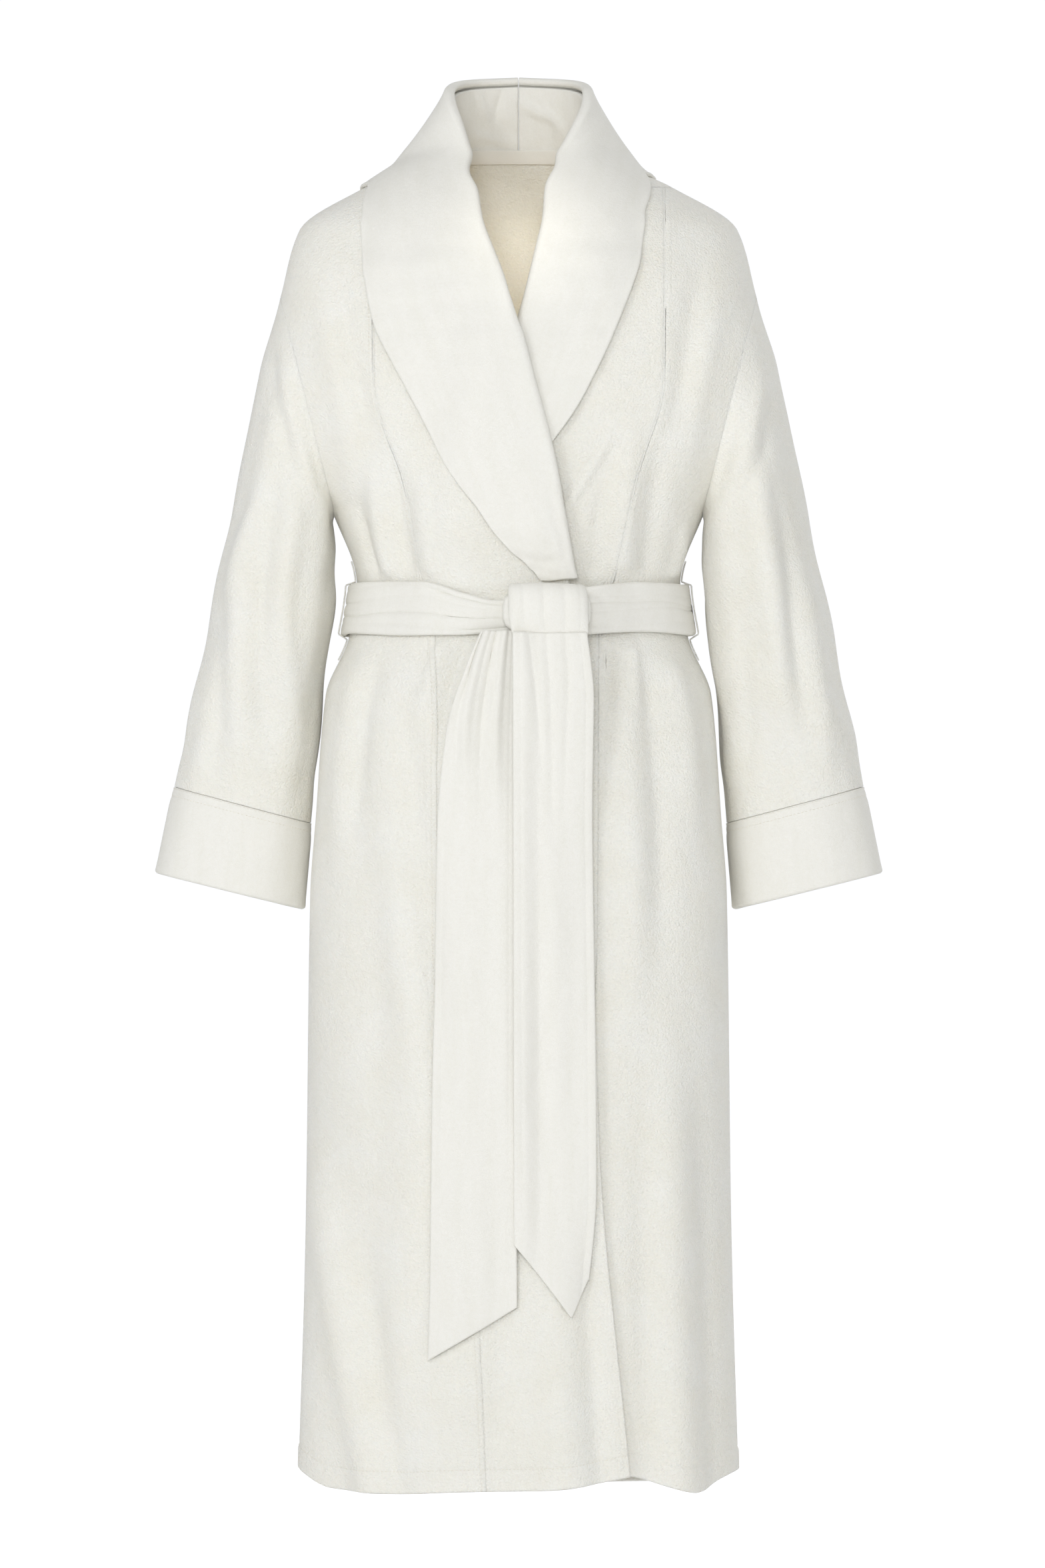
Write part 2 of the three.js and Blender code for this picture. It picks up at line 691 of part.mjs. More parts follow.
// A hanging end of the sash. Its edges run down from the knot, as [distance below it, x]. Its tip is a line
// of [x at the top, length].
const tailTop = beltHeight - 1 - knotHeight / 2 - 7;
const tailRest = terry / 2 + layerGap + sashThickness / 2;
function tailOut(height, x) {
  const lift = knotBase + knotThickness / 2 - tailRest - overlapOut;
  return rightOut(height, x) + tailRest + lift * smooth((height - tailTop + 90) / 90);
}
function beltTail(leftLine, rightLine, tip) {
  const edgeX = (line, below) => through(line, below);
  return clothSolid(
    [0, 0.03, 0.08, 0.14, 0.24, 0.4, 0.6, 0.8, 1].map((share) =>
      [...spread(0, 1, 4), 1].map((across) => {
        const topX = lerp(edgeX(leftLine, 0), edgeX(rightLine, 0), across);
        const below = share * through(tip, topX);
        const x = lerp(edgeX(leftLine, below), edgeX(rightLine, below), across);
        const height = tailTop - below;
        return cloth(height, angleAt(height, x), tailOut(height, x), sashThickness);
      }),
    ),
  );
}
const rightTail = beltTail(
  [[0, -5], [rightTailDrop, -4]],
  [[0, 58], [60, sashWidth - 5], [rightTailDrop * 0.8, sashWidth - 3], [rightTailDrop, sashWidth - 12]],
  [[-5, rightTailDrop - 66], [42, rightTailDrop], [58, rightTailDrop - 34]],
);
const leftTail = beltTail(
  [[0, -30], [35, -44], [90, -62], [180, -70], [leftTailDrop, -6 - sashWidth]],
  [[0, -8], [leftTailDrop, -7]],
  [[-30, leftTailDrop], [-8, leftTailDrop - 48]],
);
add("right_belt_tail", rightTail, velour);
add("left_belt_tail", leftTail, velour);

// ---- belt loops, on the side seams ----
function beltLoop() {
  const rest = terry / 2 + 2 * seamGap + beltLoopThickness / 2;
  const over = beltOut + beltThickness / 2 + seamGap + 0.3 + beltLoopThickness / 2;
  const path = [
    [beltTop + 22, rest],
    [beltTop + 12, rest + 0.3],
    [beltTop + 4, over],
    [beltHeight, over],
    [beltBottom - 4, over],
    [beltBottom - 12, rest + 0.3],
    [beltBottom - 22, rest],
  ];
  const reach = beltLoopWidth / 2;
  return clothSolid(
    path.map(([height, out]) =>
      [-reach, 0, reach].map((y) => {
        const angle = Math.sign(y) * (Math.abs(y) / through(frontDepths, height)) ** (1 / power);
        return cloth(height, angle, out, beltLoopThickness);
      }),
    ),
  );
}
add("left_belt_loop", beltLoop(), towelling);
add("right_belt_loop", mirrorX(beltLoop()), towelling);

robe.position.set(0, -through(sideSeamY, robeLength), -robeLength);
const part = new THREE.Group().add(robe);
export default part;
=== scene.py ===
"""A long white bathrobe with a shawl collar and a tied sash: looped cotton terry outside, sheared cotton
velour on the collar, cuffs and sash. Sizes are millimetres until a mesh is made. Heights are measured up
from the hem, and the row's origin is at the middle of the neck seam."""

import math

import bpy
import numpy as np
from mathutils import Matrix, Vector


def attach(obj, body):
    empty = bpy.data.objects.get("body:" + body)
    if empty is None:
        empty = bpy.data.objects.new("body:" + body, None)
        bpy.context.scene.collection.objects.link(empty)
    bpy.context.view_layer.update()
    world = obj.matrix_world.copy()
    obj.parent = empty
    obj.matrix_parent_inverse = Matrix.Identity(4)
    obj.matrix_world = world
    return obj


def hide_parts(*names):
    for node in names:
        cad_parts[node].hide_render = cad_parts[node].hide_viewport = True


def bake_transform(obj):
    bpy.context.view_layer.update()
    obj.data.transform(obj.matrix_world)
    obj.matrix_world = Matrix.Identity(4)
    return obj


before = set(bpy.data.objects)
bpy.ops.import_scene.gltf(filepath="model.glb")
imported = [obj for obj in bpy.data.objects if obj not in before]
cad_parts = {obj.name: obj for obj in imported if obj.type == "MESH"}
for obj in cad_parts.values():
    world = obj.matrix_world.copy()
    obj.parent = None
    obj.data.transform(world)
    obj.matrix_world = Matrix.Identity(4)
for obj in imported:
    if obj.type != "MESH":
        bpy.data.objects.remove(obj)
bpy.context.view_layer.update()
bpy.ops.object.select_all(action="DESELECT")

# ---- sizes, in millimetres ----
ROBE_LENGTH = 1205
NECK_BACK = 14  # how far behind the body's axis the neck seam's middle lies
FRAME_ORIGIN = np.array([0, NECK_BACK, ROBE_LENGTH])
METRE = 0.001
TERRY = 4.0
FACING = 2.6
COLLAR_CLOTH = 5.0
LAYER_GAP = 1.5
SEAM_GAP = 0.5
BELT_HEIGHT, BELT_WIDTH, BELT_THICKNESS = 792, 48, 7
BELT_TOP = BELT_HEIGHT + BELT_WIDTH / 2
ARMPIT, DROP, SHOULDER, COLLARBASE = 885, 1075, 1135, 1174
CROSSING, COLLAR_BACK_EDGE = 1045, 1151
ARMHOLE_OPEN = 0.55
POWER = 2 / 2.3  # how square the body's level sections are: 1 would be an ellipse
OVERLAP_OUT = TERRY + FACING + 2 * LAYER_GAP + 0.3
LAPEL_OUT = TERRY / 2 + COLLAR_CLOTH / 2 + LAYER_GAP
LAPEL_REST = 1.2
CHEST_OUT = 2 * LAPEL_OUT + LAPEL_REST + SEAM_GAP

HALF_WIDTHS_LOW = [
    (0, 197), (241, 190), (535, 186), (605, 181), (716, 172), (768, 151), (816, 144), (885, 167),
]
HALF_WIDTHS_HIGH = [(1075, 213), (1135, 196), (1174, 136), (1205, 72), (1272, 57)]
DEPTH_HEIGHTS = [0, 605, 768, 816, 885, 980, 1075, 1135, 1174, 1205, 1272]
FRONT_DEPTHS = list(zip(DEPTH_HEIGHTS, [130, 124, 106, 102, 115, 120, 113, 92, 68, 50, 42]))
BACK_DEPTHS = list(zip(DEPTH_HEIGHTS, [136, 133, 103, 95, 103, 108, 108, 96, 80, 62, 54]))
SIDE_SEAM_Y = [(0, -10), (605, -10), (885, 0), (1075, 2), (1205, 14)]


# ---- numbers ----
def lerp(a, b, share):
    return a + (b - a) * share


def smooth(t):
    t = np.clip(t, 0, 1)
    return t * t * (3 - 2 * t)


def bell(value):
    return np.exp(-value * value)


def signed_power(value, power):
    return np.sign(value) * np.abs(value) ** power


def through(pairs, at):
    """The value at `at` of a smooth curve through (position, value) pairs, which never passes its points."""
    xs, ys = np.array(pairs, float).T
    rise = np.diff(ys) / np.diff(xs)
    both = rise[:-1] * rise[1:]
    slope = np.concatenate([rise[:1], np.zeros(len(both)), rise[-1:]])
    total = np.where(both > 0, rise[:-1] + rise[1:], 1)
    slope[1:-1] = np.where(both > 0, 2 * both / total, 0)
    at = np.clip(at, xs[0], xs[-1])
    i = np.clip(np.searchsorted(xs, at, side="right") - 1, 0, len(xs) - 2)
    span = xs[i + 1] - xs[i]
    t = (at - xs[i]) / span
    start = ys[i] * (1 + 2 * t) * (1 - t) ** 2 + slope[i] * span * t * (1 - t) ** 2
    return start + ys[i + 1] * t * t * (3 - 2 * t) + slope[i + 1] * span * t * t * (t - 1)


def unit(vectors):
    return vectors / np.maximum(np.linalg.norm(vectors, axis=-1, keepdims=True), 1e-9)


# ---- the body that the cloth lies on ----
def armhole_angle(height):
    share = np.clip((height - ARMPIT) / (DROP - ARMPIT), 0, 1)
    return ARMHOLE_OPEN * np.sqrt(4 * share * (1 - share))


def half_width(height):
    hole = lerp(167, 213, (height - ARMPIT) / (DROP - ARMPIT)) / np.cos(armhole_angle(height)) ** POWER
    low, high = through(HALF_WIDTHS_LOW, height), through(HALF_WIDTHS_HIGH, height)
    return np.where(height <= ARMPIT, low, np.where(height >= DROP, high, hole))


def on_body(height, angle):
    """Angle 0 is the wearer's left side seam, and a quarter turn is the middle of the front."""
    height, angle = np.broadcast_arrays(np.asarray(height, float), np.asarray(angle, float))
    depth = np.where(np.sin(angle) > 0, through(FRONT_DEPTHS, height), through(BACK_DEPTHS, height))
    x = half_width(height) * signed_power(np.cos(angle), POWER)
    y = through(SIDE_SEAM_Y, height) - depth * signed_power(np.sin(angle), POWER)
    return np.stack([x, y, height], -1)


def off_body(height, angle, out):
    along = on_body(height, angle - 0.02) - on_body(height, angle + 0.02)
    up = on_body(height + 5, angle) - on_body(height - 5, angle)
    return on_body(height, angle) + unit(np.cross(along, up)) * np.asarray(out)[..., None]


def angle_at(height, x):
    share = np.clip(x / half_width(height), -1, 1)
    return np.arccos(signed_power(share, 1 / POWER))


# Lines on the fronts as (height, x): each front's edge or, above the sash, its roll line, and a band's seam.
RIGHT_EDGE = [
    (0, 98), (325, 70), (768, 60), (816, 49), (885, 37), (1000, 12), (1045, -1), (1125, -29), (1205, -46),
]
LEFT_EDGE = [
    (0, -98), (325, -70), (768, -60), (816, -50), (885, -40), (1000, -14), (1045, -2), (1130, 21), (1205, 37),
]
BAND_SEAM = [(0, 28), (150, 34), (505, 70), (768, 71), (816, 82), (900, 100), (1000, 129), (1174, 130)]


def right_out(height, x):
    """The right front rises where the left front lies under it, and rises more over the left lapel."""
    over = smooth((x - through(LEFT_EDGE, height) + 60) / 50)
    chest = smooth((height - BELT_TOP + 12) / 12)
    above = smooth((height - CROSSING - 25) / 70)
    return over * lerp(OVERLAP_OUT, CHEST_OUT, chest) * (1 - above)


def flat_out(height, x):
    return 0 * height * x


# ---- folds: each is a soft ridge, or a valley where its lift is below 0 ----
def fold(x, height, line, width, lift, fade=(0.3, 0.3)):
    """A fold along a line of (height, x) pairs, low to high. fade is the share of it that dies away at its
    lower and upper end: 0 runs on to the edge of the cloth."""
    low, high = line[0][0], line[-1][0]
    share = (height - low) / (high - low)
    strength = np.where((share >= 0) & (share <= 1), 1.0, 0.0)
    if fade[0]:
        strength = strength * smooth(share / fade[0])
    if fade[1]:
        strength = strength * smooth((1 - share) / fade[1])
    across = (x - through(line, height)) / width
    return lift * bell(across) * strength


# Line, width, lift and fade. They hang from the sash, the shoulders and the crossing of the fronts.
FRONT_FOLDS = [
    ([(0, -131), (100, -150), (200, -166), (340, -184)], 15, 6.5, (0, 0.35)),
    ([(0, -104), (120, -122), (260, -140)], 13, -4.5, (0, 0.5)),
    ([(30, -58), (90, -50), (190, -56)], 30, 5.5, (0.4, 0.5)),
    ([(320, -62), (440, -72), (560, -84), (735, -100)], 13, -4.5, (0.35, 0.25)),
    ([(330, -92), (450, -102), (600, -116), (745, -119)], 17, 4.0, (0.4, 0.2)),
    ([(560, -148), (680, -138), (758, -124)], 9, -3.2, (0.5, 0.15)),
    ([(520, -160), (640, -156), (760, -139)], 11, 3.6, (0.5, 0.15)),
    ([(660, -58), (720, -47), (764, -30)], 7, 3.4, (0.5, 0.1)),
    ([(640, -74), (710, -62), (764, -44)], 6, -3.0, (0.5, 0.1)),
    ([(680, -92), (764, -64)], 7, 2.6, (0.5, 0.1)),
    ([(0, 44), (110, 36), (260, 30)], 17, 4.0, (0, 0.5)),
    ([(0, 72), (140, 62), (300, 54)], 10, -3.0, (0, 0.5)),
    ([(0, -16), (150, -14), (380, -22)], 15, -3.4, (0, 0.5)),
    ([(0, 146), (260, 138), (520, 132)], 17, 4.5, (0, 0.5)),
    ([(0, 118), (220, 112), (430, 110)], 14, -3.6, (0, 0.5)),
    ([(0, 178), (200, 172), (420, 160)], 12, -3.4, (0, 0.5)),
    ([(360, 96), (560, 102), (755, 92)], 15, 3.6, (0.5, 0.15)),
    ([(420, 128), (600, 126), (758, 112)], 11, -3.0, (0.5, 0.15)),
    ([(560, 156), (680, 150), (760, 132)], 11, 3.8, (0.5, 0.15)),
    ([(690, 108), (762, 100)], 6, 2.6, (0.5, 0.1)),
    ([(690, 82), (762, 80)], 6, -2.4, (0.5, 0.1)),
    # above the sash
    ([(820, -112), (860, -122), (935, -134)], 7, 4.0, (0.1, 0.5)),
    ([(820, -124), (850, -134), (905, -147)], 5, -3.4, (0.1, 0.5)),
    ([(820, -92), (880, -104), (960, -112)], 9, -3.2, (0.1, 0.5)),
    ([(820, -74), (880, -84), (950, -92)], 9, 3.0, (0.1, 0.6)),
    ([(820, 136), (838, 142), (880, 150)], 5, 3.4, (0.1, 0.5)),
    ([(820, 112), (870, 118), (960, 128)], 9, -3.0, (0.1, 0.5)),
    ([(820, 92), (890, 96), (985, 104)], 11, 3.4, (0.1, 0.5)),
    ([(870, 34), (910, 58), (958, 88)], 6, 2.6, (0.3, 0.3)),
    ([(820, 66), (860, 70), (930, 78)], 8, -2.6, (0.1, 0.5)),
    # over the chest, up to the shoulders
    ([(880, -146), (970, -160), (1090, -176)], 13, 3.6, (0.3, 0.4)),
    ([(930, -128), (1020, -150), (1120, -166)], 10, -2.8, (0.3, 0.4)),
    ([(900, 148), (990, 164), (1095, 178)], 13, 3.4, (0.3, 0.4)),
    ([(940, 138), (1040, 154), (1130, 164)], 11, -3.0, (0.3, 0.4)),
]
BACK_FOLDS = [
    ([(0, -150), (250, -142), (560, -118), (764, -92)], 17, 5.5, (0, 0.1)),
    ([(0, -118), (300, -106), (620, -84)], 15, -4.5, (0, 0.3)),
    ([(0, -78), (300, -66), (764, -34)], 18, 5.5, (0, 0.1)),
    ([(0, -36), (300, -30), (600, -22)], 15, -4.2, (0, 0.4)),
    ([(0, 8), (340, 10), (764, 6)], 18, 5.0, (0, 0.1)),
    ([(0, 52), (300, 44), (650, 34)], 15, -4.5, (0, 0.3)),
    ([(0, 96), (320, 84), (764, 52)], 18, 5.5, (0, 0.1)),
    ([(0, 134), (280, 118), (600, 98)], 14, -4.2, (0, 0.3)),
    ([(0, 164), (260, 152), (560, 132), (764, 104)], 15, 5.0, (0, 0.1)),
    ([(640, -62), (764, -58)], 7, -3.0, (0.6, 0.1)),
    ([(640, 30), (764, 28)], 7, -3.0, (0.6, 0.1)),
    ([(680, 82), (764, 76)], 6, -2.6, (0.6, 0.1)),
    ([(818, -104), (880, -118), (960, -132)], 9, 4.0, (0.1, 0.5)),
    ([(818, -78), (900, -88), (1010, -98)], 11, -3.6, (0.1, 0.6)),
    ([(818, -50), (900, -56), (1050, -66)], 12, 4.0, (0.1, 0.6)),
    ([(818, -18), (900, -18), (1010, -22)], 10, -3.0, (0.1, 0.6)),
    ([(818, 14), (900, 16), (1060, 20)], 12, 3.6, (0.1, 0.6)),
    ([(818, 46), (900, 54), (1020, 62)], 11, -3.4, (0.1, 0.6)),
    ([(818, 80), (900, 92), (1010, 108)], 11, 4.0, (0.1, 0.6)),
    ([(818, 108), (880, 120), (950, 134)], 8, -3.0, (0.1, 0.5)),
]


def relief(height, angle):
    """How far folds lift the cloth off the body. They die away at the side seams and under the sash."""
    x = on_body(height, angle)[..., 0]
    front = np.sin(angle) > 0
    total = np.zeros(np.broadcast(height, angle).shape)
    for side, folds, depth in ((front, FRONT_FOLDS, 1.45), (~front, BACK_FOLDS, 1.5)):
        lifts = depth * sum(fold(x, height, *each) for each in folds)
        total = np.where(side, lifts, total)
    low = smooth(1 - height / 700)
    sway = 1.6 * low * np.sin(x / 17 + height / 210) + 1.0 * np.sin(x / 31 - height / 96 + 1.3)
    total = total + sway + 0.7 * np.sin(x / 13 + height / 57) * np.sin(height / 83 - x / 44)
    edge = np.minimum(np.abs(np.sin(angle)), 1)
    side_fade = smooth((edge - np.sin(armhole_angle(height))) / 0.3)
    tied = 1 - np.exp(-(((height - BELT_HEIGHT) / 26) ** 4)) * 0.94
    neck = 1 - smooth((height - 1110) / 60)
    return total * side_fade * tied * lerp(0.25, 1, neck)


# ---- sheets ----
def edged(length, count, start=(0, 0.3, 1, 2), end=None):
    """Shares along a length, with the places near both ends given in millimetres from that end. The end's are
    the start's own unless they are given."""
    first, last = np.array(start, float) / length, 1 - np.array(end or start[::-1], float) / length
    return np.concatenate([first, np.linspace(first[-1], last[0], count)[1:-1], last])


def grid_normals(points, around=False):
    if around:
        across = np.roll(points, -1, 1) - np.roll(points, 1, 1)
    else:
        across = np.gradient(points, axis=1)
    return unit(np.cross(unit(across), unit(np.gradient(points, axis=0))))


def edge_share(shares, length, turn):
    """How thick the cloth is near its edges, from 0 to 1, where an edge turns over a radius of `turn`."""
    near = np.stack([shares * length / turn[0], (1 - shares) * length / turn[1]]).min(0)
    return np.sqrt(np.clip(1 - (1 - np.clip(near, 0, 1)) ** 2, 0, 1))


def ringed(grid):
    """A grid whose first column comes again after its last."""
    return np.concatenate([grid, grid[:, :1]], 1)


def corners(grid):
    """The four corners of every cell of a grid, in turn round the cell."""
    return [grid[:-1, :-1], grid[:-1, 1:], grid[1:, 1:], grid[1:, :-1]]


def flat_map(points, around):
    """Each point's place on the flat cloth: distances along the rows and up the columns."""
    closed = ringed(points) if around else points
    across = np.linalg.norm(np.diff(closed, axis=1), axis=2).cumsum(1)
    across = np.concatenate([np.zeros((len(points), 1)), across], 1)
    across -= across.mean(1, keepdims=True)
    up = np.linalg.norm(np.diff(closed, axis=0), axis=2).cumsum(0)
    up = np.concatenate([np.zeros((1, closed.shape[1])), up], 0)
    return np.stack([across, up], -1)


def smooth_object(name, vertices, faces):
    """Adds a smooth mesh, moved into the row's frame and turned to metres."""
    mesh = bpy.data.meshes.new(name)
    mesh.from_pydata(((vertices - FRAME_ORIGIN) * METRE).tolist(), [], faces)
    mesh.polygons.foreach_set("use_smooth", [True] * len(mesh.polygons))
    mesh.update()
    made = bpy.data.objects.new(name, mesh)
    bpy.context.scene.collection.objects.link(made)
    return made


def closed_object(name, vertices, faces, uvs):
    """Adds a closed mesh of four-sided faces, turned outwards."""
    volume = 0.0
    for corner in (2, 3):
        a, b, c = (vertices[faces[:, k]] - vertices[0] for k in (0, corner - 1, corner))
        volume += float(np.einsum("ij,ij->i", a, np.cross(b, c)).sum())
    if volume < 0:
        faces, uvs = faces[:, ::-1], uvs[:, ::-1]
    made = smooth_object(name, vertices, faces.tolist())
    layer = made.data.uv_layers.new(name="flat cloth")
    layer.data.foreach_set("uv", (uvs.reshape(-1) * METRE).astype(np.float32))
    return made


class Sheet:
    """A sheet of cloth: rows of points on its middle, with a thickness, closed along its edges."""

    def __init__(self, name, points, thick, shares, lengths, turns=None, around=False):
        rows, columns = points.shape[:2]
        turns = turns or ((thick / 2, thick / 2), (thick / 2, thick / 2))
        self.normals = grid_normals(points, around)
        half = edge_share(shares[0], lengths[0], turns[0])[:, None] * np.ones(columns)
        if not around:
            half = np.minimum(half, edge_share(shares[1], lengths[1], turns[1])[None, :])
        half = half * np.asarray(thick) / 2
        self.points, self.around = points, around
        self.outer = points + self.normals * half[..., None]
        self.inner = points - self.normals * half[..., None]
        self.map = flat_map(points, around)
        self.object = self.closed(name, rows, columns)

    def closed(self, name, rows, columns):
        number = np.arange(rows * columns).reshape(rows, columns)
        under = number + rows * columns
        under[0], under[-1] = number[0], number[-1]
        if not self.around:
            under[:, 0], under[:, -1] = number[:, 0], number[:, -1]
        sides, maps = [], []
        for index, order in ((number, 1), (under, -1)):
            quads = corners(ringed(index) if self.around else index)[::order]
            sides.append(np.stack(quads, -1).reshape(-1, 4))
            maps.append(np.stack(corners(self.map)[::order], -2).reshape(-1, 4, 2))
        vertices = np.concatenate([self.outer.reshape(-1, 3), self.inner.reshape(-1, 3)])
        faces, uvs = np.concatenate(sides), np.concatenate(maps)
        used, place = np.unique(faces, return_inverse=True)
        return closed_object(name, vertices[used], place.reshape(faces.shape), uvs)

    def size(self):
        """The flat cloth's width, length and area, in metres."""
        width, length = np.ptp(self.map[..., 0]) * METRE, np.ptp(self.map[..., 1]) * METRE
        a, b, c, d = corners(ringed(self.points) if self.around else self.points)
        area = np.linalg.norm(np.cross(c - a, d - b), axis=-1).sum() / 2 * METRE**2
        return width, length, min(area, width * length)

    def upward_line(self, from_start, inset):
        """A line up the sheet at `inset` from its first or last column, as points and normals."""
        return self.line(self.outer, self.normals, from_start, inset)

    def level_line(self, from_start, inset):
        outer, normals = self.outer, self.normals
        if self.around:
            outer, normals = ringed(outer), ringed(normals)
        return self.line(outer.transpose(1, 0, 2), normals.transpose(1, 0, 2), from_start, inset)

    def line(self, outer, normals, from_start, inset):
        if not from_start:
            outer, normals = outer[:, ::-1], normals[:, ::-1]
        gone = np.linalg.norm(np.diff(outer, axis=1), axis=2).cumsum(1)
        gone = np.concatenate([np.zeros((len(outer), 1)), gone], 1)
        i = np.clip((gone < inset).sum(1) - 1, 0, outer.shape[1] - 2)
        r = np.arange(len(outer))
        t = ((inset - gone[r, i]) / np.maximum(gone[r, i + 1] - gone[r, i], 1e-6))[:, None]
        return lerp(outer[r, i], outer[r, i + 1], t), unit(lerp(normals[r, i], normals[r, i + 1], t))


# ---- stitches ----
STITCH_PITCH, STITCH_LENGTH, THREAD = 3.6, 2.7, 0.62
STITCH_DIP, STITCH_RISE, STITCH_POINTS = 0.35, 0.12, 10
stitch_lines = {}


def stitched(group, *lines):
    """Keeps lines of stitches, as points and normals, for the group's mesh."""
    stitch_lines.setdefault(group, []).extend(lines)


def value_at(place, places, vectors):
    return np.stack([np.interp(place, places, part) for part in vectors.T], -1)


def stitches(group):
    """One mesh of all the group's stitches: each is a short thread that dips into the cloth at both ends."""
    all_vertices, all_faces, base = [], [], 0
    ring = np.array([(1, 0), (0, 0.8), (-1, 0), (0, -0.8)]) * THREAD / 2
    for points, normals in stitch_lines[group]:
        gone = np.concatenate([[0], np.linalg.norm(np.diff(points, axis=0), axis=1).cumsum()])
        centres = np.arange(STITCH_PITCH, gone[-1] - STITCH_PITCH / 2, STITCH_PITCH)
        middle, up = value_at(centres, gone, points), unit(value_at(centres, gone, normals))
        along = unit(value_at(centres + 1, gone, points) - value_at(centres - 1, gone, points))
        side = unit(np.cross(along, up))
        parts = [middle - along * STITCH_LENGTH / 2 - up * STITCH_DIP]
        for share in (-0.3, 0.3):
            lifted = middle + along * STITCH_LENGTH * share + up * STITCH_RISE
            parts += [lifted + side * a + up * b for a, b in ring]
        parts.append(middle + along * STITCH_LENGTH / 2 - up * STITCH_DIP)
        faces = []
        for k in range(4):
            n = (k + 1) % 4
            faces += [(0, 1 + n, 1 + k, 1 + k), (1 + k, 1 + n, 5 + n, 5 + k), (5 + k, 5 + n, 9, 9)]
        firsts = base + STITCH_POINTS * np.arange(len(middle))
        all_vertices.append(np.stack(parts, 1).reshape(-1, 3))
        all_faces.append((np.array(faces)[None] + firsts[:, None, None]).reshape(-1, 4))
        base += STITCH_POINTS * len(middle)
    # A corner that comes twice makes a face of three sides.
    faces = [list(dict.fromkeys(quad)) for quad in np.concatenate(all_faces).tolist()]
    return smooth_object(group, np.concatenate(all_vertices), faces)


# ---- materials ----
def linear(colour):
    """An sRGB hex colour as linear red, green, blue and 1."""
    parts = [int(colour[i : i + 2], 16) / 255 for i in (1, 3, 5)]
    return (*[p / 12.92 if p <= 0.04045 else ((p + 0.055) / 1.055) ** 2.4 for p in parts], 1)


def node(tree, kind, settings=None, stops=(), **inputs):
    """Adds a node. settings are its properties, stops are a colour ramp's, and inputs are values, or output
    sockets to link."""
    made = tree.nodes.new(kind)
    for name, value in (settings or {}).items():
        setattr(made, name, value)
    for _ in stops[2:]:
        made.color_ramp.elements.new(0.5)
    for element, (place, colour) in zip(made.color_ramp.elements if stops else (), stops):
        element.position, element.color = place, linear(colour)
    for name, value in inputs.items():
        key = int(name[1:]) if name[0] == "_" and name[1:].isdigit() else name.replace("_", " ")
        if isinstance(value, bpy.types.NodeSocket):
            tree.links.new(value, made.inputs[key])
        else:
            made.inputs[key].default_value = value
    return made


ADD_SHARE = {"operation": "MULTIPLY_ADD"}
TINT = {"data_type": "RGBA", "blend_type": "MULTIPLY"}
SOFT_STEP = {"interpolation_type": "SMOOTHSTEP"}


def new_material(name):
    made = bpy.data.materials.new(name)
    made.use_nodes = True
    made.node_tree.nodes.clear()
    return made, made.node_tree


def looped_terry():
    """Cotton towelling, woven with uncut loops about 1.7 mm apart. The loops lie every way, so the surface
    is nubbly and matt, its pits are painted a little darker and warmer than the tips, as painted shade,
    and its edges look fuzzy and bright."""
    made, tree = new_material("looped cotton terry")
    place = node(tree, "ShaderNodeTexCoord").outputs["Object"]
    loops = node(tree, "ShaderNodeTexVoronoi", {"feature": "SMOOTH_F1"}, Vector=place, Scale=560,
                 Smoothness=0.7)
    curl = node(tree, "ShaderNodeTexNoise", Vector=place, Scale=900, Detail=3, Roughness=0.65)
    tufts = node(tree, "ShaderNodeTexNoise", Vector=place, Scale=150, Detail=4, Roughness=0.6)
    cloud = node(tree, "ShaderNodeTexNoise", Vector=place, Scale=22, Detail=3, Roughness=0.55)
    loop_height = node(tree, "ShaderNodeMath", {"operation": "MULTIPLY"}, _0=loops.outputs[0], _1=-1.3)
    fine = node(tree, "ShaderNodeMath", ADD_SHARE, _0=curl.outputs[0], _1=0.9, _2=loop_height.outputs[0])
    height = node(tree, "ShaderNodeMath", ADD_SHARE, _0=tufts.outputs[0], _1=1.5, _2=fine.outputs[0])
    bump = node(tree, "ShaderNodeBump", Strength=0.7, Distance=0.0010, Height=height.outputs[0])
    shade = node(tree, "ShaderNodeMapRange", Value=height.outputs[0], From_Min=0.0, From_Max=1.5)
    # Painted shade: the pits, low in the loops' height, get a darker, warmer colour than the tips.
    painted_pit_shade = node(tree, "ShaderNodeValToRGB", stops=[(0.0, "#EEECE3"), (0.5, "#F0EEE6"), (1.0, "#F1EFE7")],
                Fac=shade.outputs[0])
    drift = node(tree, "ShaderNodeValToRGB", stops=[(0.3, "#FCFBF8"), (0.7, "#FFFFFF")], Fac=cloud.outputs[0])
    colour = node(tree, "ShaderNodeMix", TINT, Factor=1.0, _6=painted_pit_shade.outputs[0], _7=drift.outputs[0])
    shader = node(tree, "ShaderNodeBsdfPrincipled", Base_Color=colour.outputs[2], Roughness=1.0, IOR=1.45,
                  Specular_IOR_Level=0.12, Sheen_Weight=0.12, Sheen_Roughness=0.6, Subsurface_Weight=0.3,
                  Subsurface_Scale=0.004, Subsurface_Radius=(1.0, 0.9, 0.78), Normal=bump.outputs[0])
    node(tree, "ShaderNodeOutputMaterial", Surface=shader.outputs[0])
    return made


